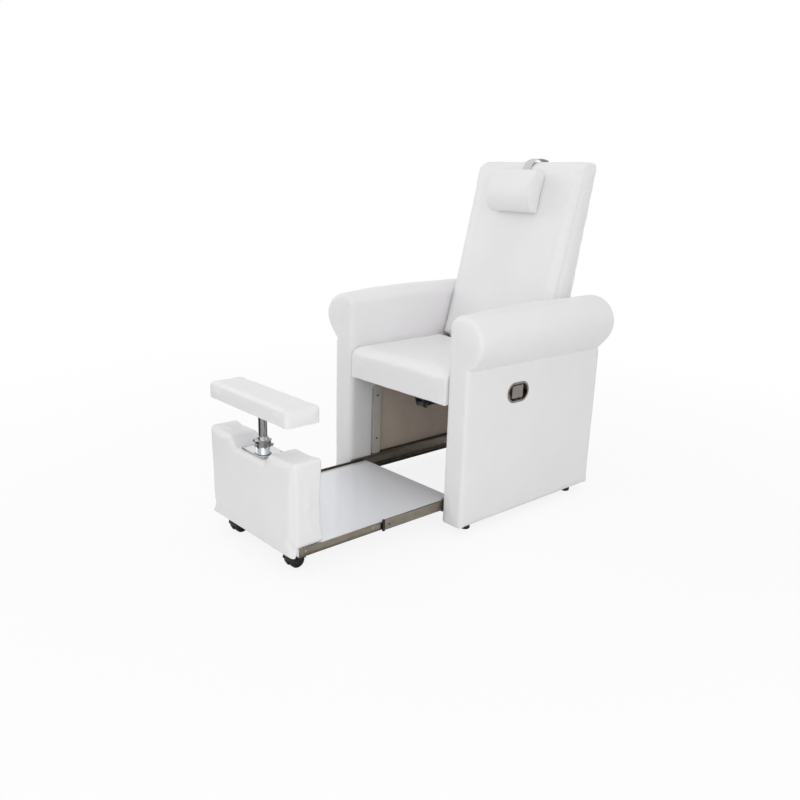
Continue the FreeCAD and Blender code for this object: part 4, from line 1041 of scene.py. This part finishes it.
@dataclass
class FootBox:
    """Padded foot box on the shelf, with the dip where the clamp stands."""

    edge: float = 9.0 * MM
    corner: float = 9.0 * MM
    well_radius: float = 18.4 * MM
    proud: float = 1.0 * MM
    notch_top: float = 120.0 * MM
    notch_floor: float = 86.0 * MM
    notch_z: float = 336.0 * MM
    foot_inset: float = 3.9 * MM
    foot_height: float = 6.0 * MM

    def build(self) -> None:
        """Makes, dresses and places the cover."""
        low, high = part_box("footbox_cover")
        shelf_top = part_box("shelf")[1].z
        y0, y1 = low.y - self.proud, high.y + self.proud
        profile = self._profile(high.x + self.proud, high.z + self.proud)
        rings = []
        depth = (y1 - y0) / 2
        for y, inset in end_stations(depth, self.edge):
            ring = [(x * (1 - inset / high.x), z if z < shelf_top + 1 * MM else z - inset)
                    for x, z in profile]
            rings.append([Vector((x, (y0 + y1) / 2 - y, max(z, shelf_top))) for x, z in ring])
        cover = skin_rings("box", rings)
        apron_half = high.x - self.foot_inset - 3 * MM
        outline = soft_rectangle(-apron_half, apron_half, low.z - HEM, shelf_top + 30 * MM, 3 * MM, 3 * MM)
        apron = skin_rings("apron", [[Vector((x, y, z)) for x, z in outline]
                                     for y in (y0 + 12 * MM, y0 + 3 * MM, y0)])
        cover = joined("upholstered_foot_box", [cover, apron])
        Foam(voxel=6 * MM, swell=(0.003, 0.007, 0.003), low=Vector((low.x - 3 * MM, low.y - 7 * MM, low.z)),
             high=Vector((high.x + 3 * MM, high.y + 4 * MM, high.z + 3 * MM)), smooth=1).fill(cover)
        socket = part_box("post_socket")
        post = ((socket[0].x + socket[1].x) / 2, (socket[0].y + socket[1].y) / 2)
        well = [[Vector((x, y, z)) for x, y in arc(post, self.well_radius, 0, 350, 35)] for z in (0.09, 0.4)]
        cut_away(cover, skin_rings("well_cutter", well))
        finish_piece(cover, LEATHER, "drawer", ["footbox_cover"])

    def _profile(self, half: float, top: float) -> list[Point2]:
        """Front outline of the box with its dip."""
        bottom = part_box("shelf")[1].z
        r = self.corner
        t, f, z = self.notch_top, self.notch_floor, self.notch_z
        middle = (t + f) / 2
        ramp = [(t + 2 * MM, top), (middle + 9 * MM, top - 3 * MM), (middle + 2 * MM, (top + z) / 2 + 4 * MM),
                (middle - 2 * MM, (top + z) / 2 - 6 * MM), (middle - 8 * MM, z + 3 * MM), (f, z)]
        foot = half - self.foot_inset
        right = [(foot, bottom), (foot, bottom + self.foot_height),
                 (half, bottom + self.foot_height + 1 * MM),
                 *arc((half - r, top - r), r, 0, 90, 5), *ramp]
        return right + [(-x, y) for x, y in reversed(right)]


@dataclass
class LegRest:
    """Padded bar across the top of the leg post."""

    proud: float = 1.0 * MM
    end_edge: float = 14.0 * MM
    low_edge: float = 3.0 * MM
    top_edge: float = 9.0 * MM

    def build(self) -> None:
        """Makes, dresses and places the pad."""
        low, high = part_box("leg_rest_pad")
        middle = (low.y + high.y) / 2
        half, deep = (high.x - low.x) / 2 + self.proud, (high.y - low.y) / 2 + self.proud
        rings = []
        for x, inset in end_stations(half, self.end_edge):
            outline = soft_rectangle(-deep + inset, deep - inset, low.z - HEM,
                                     high.z - 2 * MM - inset * 0.4, self.low_edge, self.top_edge)
            rings.append([Vector((x, middle + y, z)) for y, z in outline])
        pad = skin_rings("upholstered_leg_rest", rings)
        Foam(voxel=5 * MM, swell=(0.002, 0.003, 0.004), low=low - Vector((3 * MM, 3 * MM, 0)),
             high=high + Vector((3 * MM, 3 * MM, 3 * MM)), smooth=2).fill(pad)
        finish_piece(pad, LEATHER, "leg_rest", ["leg_rest_pad"])


NODE_FINISHES: dict[str, Finish] = {
    "arm_frame": TIMBER,
    # The bay's lining takes the taupe colour painted paler, as painted light.
    "inner_lining": LINING_WITH_PAINTED_LIGHT,
    "lining_batten": BATTEN_GREY,
    "batten_screws": BLACK_STEEL,
    "slide_board": DARK_BOARD,
    "foot_": NYLON,
    "slide_buffer": NYLON,
    "slide_": ZINC_STEEL,
    "ball_cage": ZINC_STEEL,
    "seat_board": DARK_BOARD,
    "seat_frame": BLACK_STEEL,
    "hinge_pins": ZINC_STEEL,
    "release_cup": NICKEL,
    "release_paddle": NICKEL,
    "release_lever": ZINC_STEEL,
    "gas_cylinder": BLACK_STEEL,
    "gas_rod": CHROME,
    "shelf": MELAMINE,
    "footbox_carcass": DARK_BOARD,
    "post_socket": CHROME,
    # The clamp and leg post take the chrome whose colour is darkened as painted shade.
    "clamp_ring": SHADE_DARKENED_CHROME,
    "leg_post": SHADE_DARKENED_CHROME,
    "leg_rest_board": MELAMINE,
    "backrest_board": TIMBER,
    "backrest_frame": BLACK_STEEL,
    "caster_plate": ZINC_STEEL,
    "caster_hood": NYLON,
    "caster_wheel": NYLON,
}


@dataclass
class Hardware:
    """The rigid nodes that keep their own meshes and get a finish."""

    def build(self) -> None:
        """Dresses every node that is still shown."""
        for name, piece in frame["nodes"].items():
            if piece.hide_render:
                continue
            finish = next((f for start, f in NODE_FINISHES.items() if name.startswith(start)), LEATHER)
            material = PALETTE.get(finish)
            if not piece.data.materials:
                piece.data.materials.append(material)
            for i in range(len(piece.data.materials)):
                piece.data.materials[i] = material
            LOG.info("%s: %s", name, finish.name)


# Lamps: name, place, edge of the square window in metres, power in watts.
LAMPS = (("front_lamp", (2.2, -2.6, 1.3), 2.4, 19.0), ("side_lamp", (3.4, -1.2, 2.2), 2.6, 15.0),
         ("left_lamp", (-3.2, -1.2, 2.4), 2.6, 24.0), ("top_lamp", (0.4, 0.6, 4.2), 3.0, 17.0))
# Black cards: name, and where the two ends stand on the floor.
FLAGS = (("front_flag", (-0.1, -1.45), (-0.75, -1.25)), ("left_flag", (-0.85, -1.15), (-0.95, -0.45)),
         ("right_flag", (0.78, -0.8), (0.72, -0.32)))


@dataclass
class Studio:
    """Camera, lamps, world and floor."""

    camera_place: tuple[float, float, float] = (2.03094, -1.89024, 1.17018)
    yaw: float = math.radians(47.68)
    pitch: float = math.radians(15.51)
    roll: float = math.radians(1.76)
    lens_mm: float = 35.3
    sensor_mm: float = 36.0
    flag_height: float = 0.34
    sky_light: float = 0.65
    floor_white: float = 0.86
    floor_half: float = 9.0
    fade_start: float = 1.2
    fade_end: float = 3.2
    lamp_aim: tuple[float, float, float] = (0.0, 0.0, 0.55)

    def build(self) -> None:
        """Sets up all of the studio."""
        self._camera()
        self._world()
        self._floor()
        for lamp in LAMPS:
            self._lamp(*lamp)
        for flag in FLAGS:
            self._flag(*flag)
        bpy.context.scene.view_settings.view_transform = "Standard"

    def _camera(self) -> None:
        """Stands the camera where the photograph was taken."""
        data = bpy.data.cameras.new("camera")
        data.lens, data.sensor_width = self.lens_mm, self.sensor_mm
        data.clip_start, data.clip_end = 0.05, 60.0
        camera = add_object("camera", data)
        back = Vector((math.sin(self.yaw) * math.cos(self.pitch), -math.cos(self.yaw) * math.cos(self.pitch),
                       math.sin(self.pitch)))
        right = (-back).cross(Vector((0, 0, 1))).normalized()
        up = right.cross(-back)
        turned_right = right * math.cos(self.roll) + up * math.sin(self.roll)
        turned_up = up * math.cos(self.roll) - right * math.sin(self.roll)
        axes = Matrix((turned_right, turned_up, back)).transposed().to_4x4()
        camera.matrix_world = Matrix.Translation(Vector(self.camera_place)) @ axes
        bpy.context.scene.camera = camera

    def _world(self) -> None:
        """White to the eye and in reflections, softer as light."""
        world = bpy.data.worlds.new("studio")
        bpy.context.scene.world = world
        world.use_nodes = True
        tree = world.node_tree
        tree.nodes.clear()
        path = add_node(tree, "ShaderNodeLightPath")
        seen = add_node(tree, "ShaderNodeMath", {0: path.outputs["Is Camera Ray"],
                                                 1: path.outputs["Is Glossy Ray"]}, operation="MAXIMUM")
        seen = add_node(tree, "ShaderNodeMath", {0: seen.outputs[0], 1: path.outputs["Is Transmission Ray"]},
                        operation="MAXIMUM")
        strength = add_node(tree, "ShaderNodeMapRange", {"Value": seen.outputs[0], "To Min": self.sky_light,
                                                         "To Max": 1.0})
        sky = add_node(tree, "ShaderNodeBackground", {"Color": (1.0, 1.0, 1.0, 1.0),
                                                      "Strength": strength.outputs["Result"]})
        add_node(tree, "ShaderNodeOutputWorld", {"Surface": sky.outputs["Background"]})

    def _floor(self) -> None:
        """Large white floor that keeps a soft shadow and fades into the background."""
        corners = [Vector((x, y, 0)) * self.floor_half for x, y in ((-1, -1), (1, -1), (1, 1), (-1, 1))]
        floor = new_object("studio_floor", corners, [(0, 1, 2, 3)])
        material = bpy.data.materials.new("matt_floor")
        material.use_nodes = True
        tree = material.node_tree
        tree.nodes.clear()
        path = add_node(tree, "ShaderNodeLightPath")
        place = add_node(tree, "ShaderNodeTexCoord")
        away = add_node(tree, "ShaderNodeVectorMath", {0: place.outputs["Object"]}, operation="LENGTH")
        fade = add_node(tree, "ShaderNodeMapRange",
                        {"Value": away.outputs["Value"], "From Min": self.fade_start,
                         "From Max": self.fade_end, "To Min": self.floor_white, "To Max": 1.0})
        seen = add_node(tree, "ShaderNodeMath", {0: fade.outputs["Result"], 1: path.outputs["Is Camera Ray"]},
                        operation="MULTIPLY")
        matt = add_node(tree, "ShaderNodeBsdfDiffuse", {"Color": linear("#F4F4F4")})
        white = add_node(tree, "ShaderNodeEmission", {"Color": (1.0, 1.0, 1.0, 1.0), "Strength": 1.0})
        mixed = add_node(tree, "ShaderNodeMixShader", {0: seen.outputs[0], 1: matt.outputs[0],
                                                       2: white.outputs[0]})
        add_node(tree, "ShaderNodeOutputMaterial", {"Surface": mixed.outputs[0]})
        floor.data.materials.append(material)

    def _flag(self, name: str, start: Point2, end: Point2) -> None:
        """Stands one low black card that only mirrors see, so that chrome shows dark streaks.

        Args:
            name: Its name.
            start: Where one end stands on the floor.
            end: Where the other end stands.
        """
        corners = [Vector((*start, 0.0)), Vector((*end, 0.0)), Vector((*end, self.flag_height)),
                   Vector((*start, self.flag_height))]
        card = new_object(name, corners, [(0, 1, 2, 3)])
        material = bpy.data.materials.new("black_flag_cloth")
        material.use_nodes = True
        shader = material.node_tree.nodes["Principled BSDF"]
        shader.inputs["Base Color"].default_value = linear("#0C0C0D")
        shader.inputs["Roughness"].default_value = 0.95
        card.data.materials.append(material)
        for ray in ("camera", "diffuse", "transmission", "shadow", "volume_scatter"):
            setattr(card, "visible_%s" % ray, False)

    def _lamp(self, name: str, place: tuple[float, float, float], size: float, power: float) -> None:
        """Adds one soft lamp aimed at the chair.

        Args:
            name: Its name.
            place: Where it hangs.
            size: Edge of its square window.
            power: Its power in watts.
        """
        data = bpy.data.lights.new(name, "AREA")
        data.shape, data.size, data.energy = "SQUARE", size, power
        lamp = add_object(name, data)
        turn = (Vector(self.lamp_aim) - Vector(place)).to_track_quat("-Z", "Y").to_matrix().to_4x4()
        lamp.matrix_world = Matrix.Translation(Vector(place)) @ turn


def main() -> None:
    """Builds every sub-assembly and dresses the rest."""
    logging.basicConfig(level=logging.INFO, format="%(message)s")
    Studio().build()
    for part in (Arms(), Seat(), Back(), FootBox(), LegRest(), Hardware()):
        LOG.info("building %s", type(part).__name__)
        part.build()


if __name__ == "__main__":
    main()
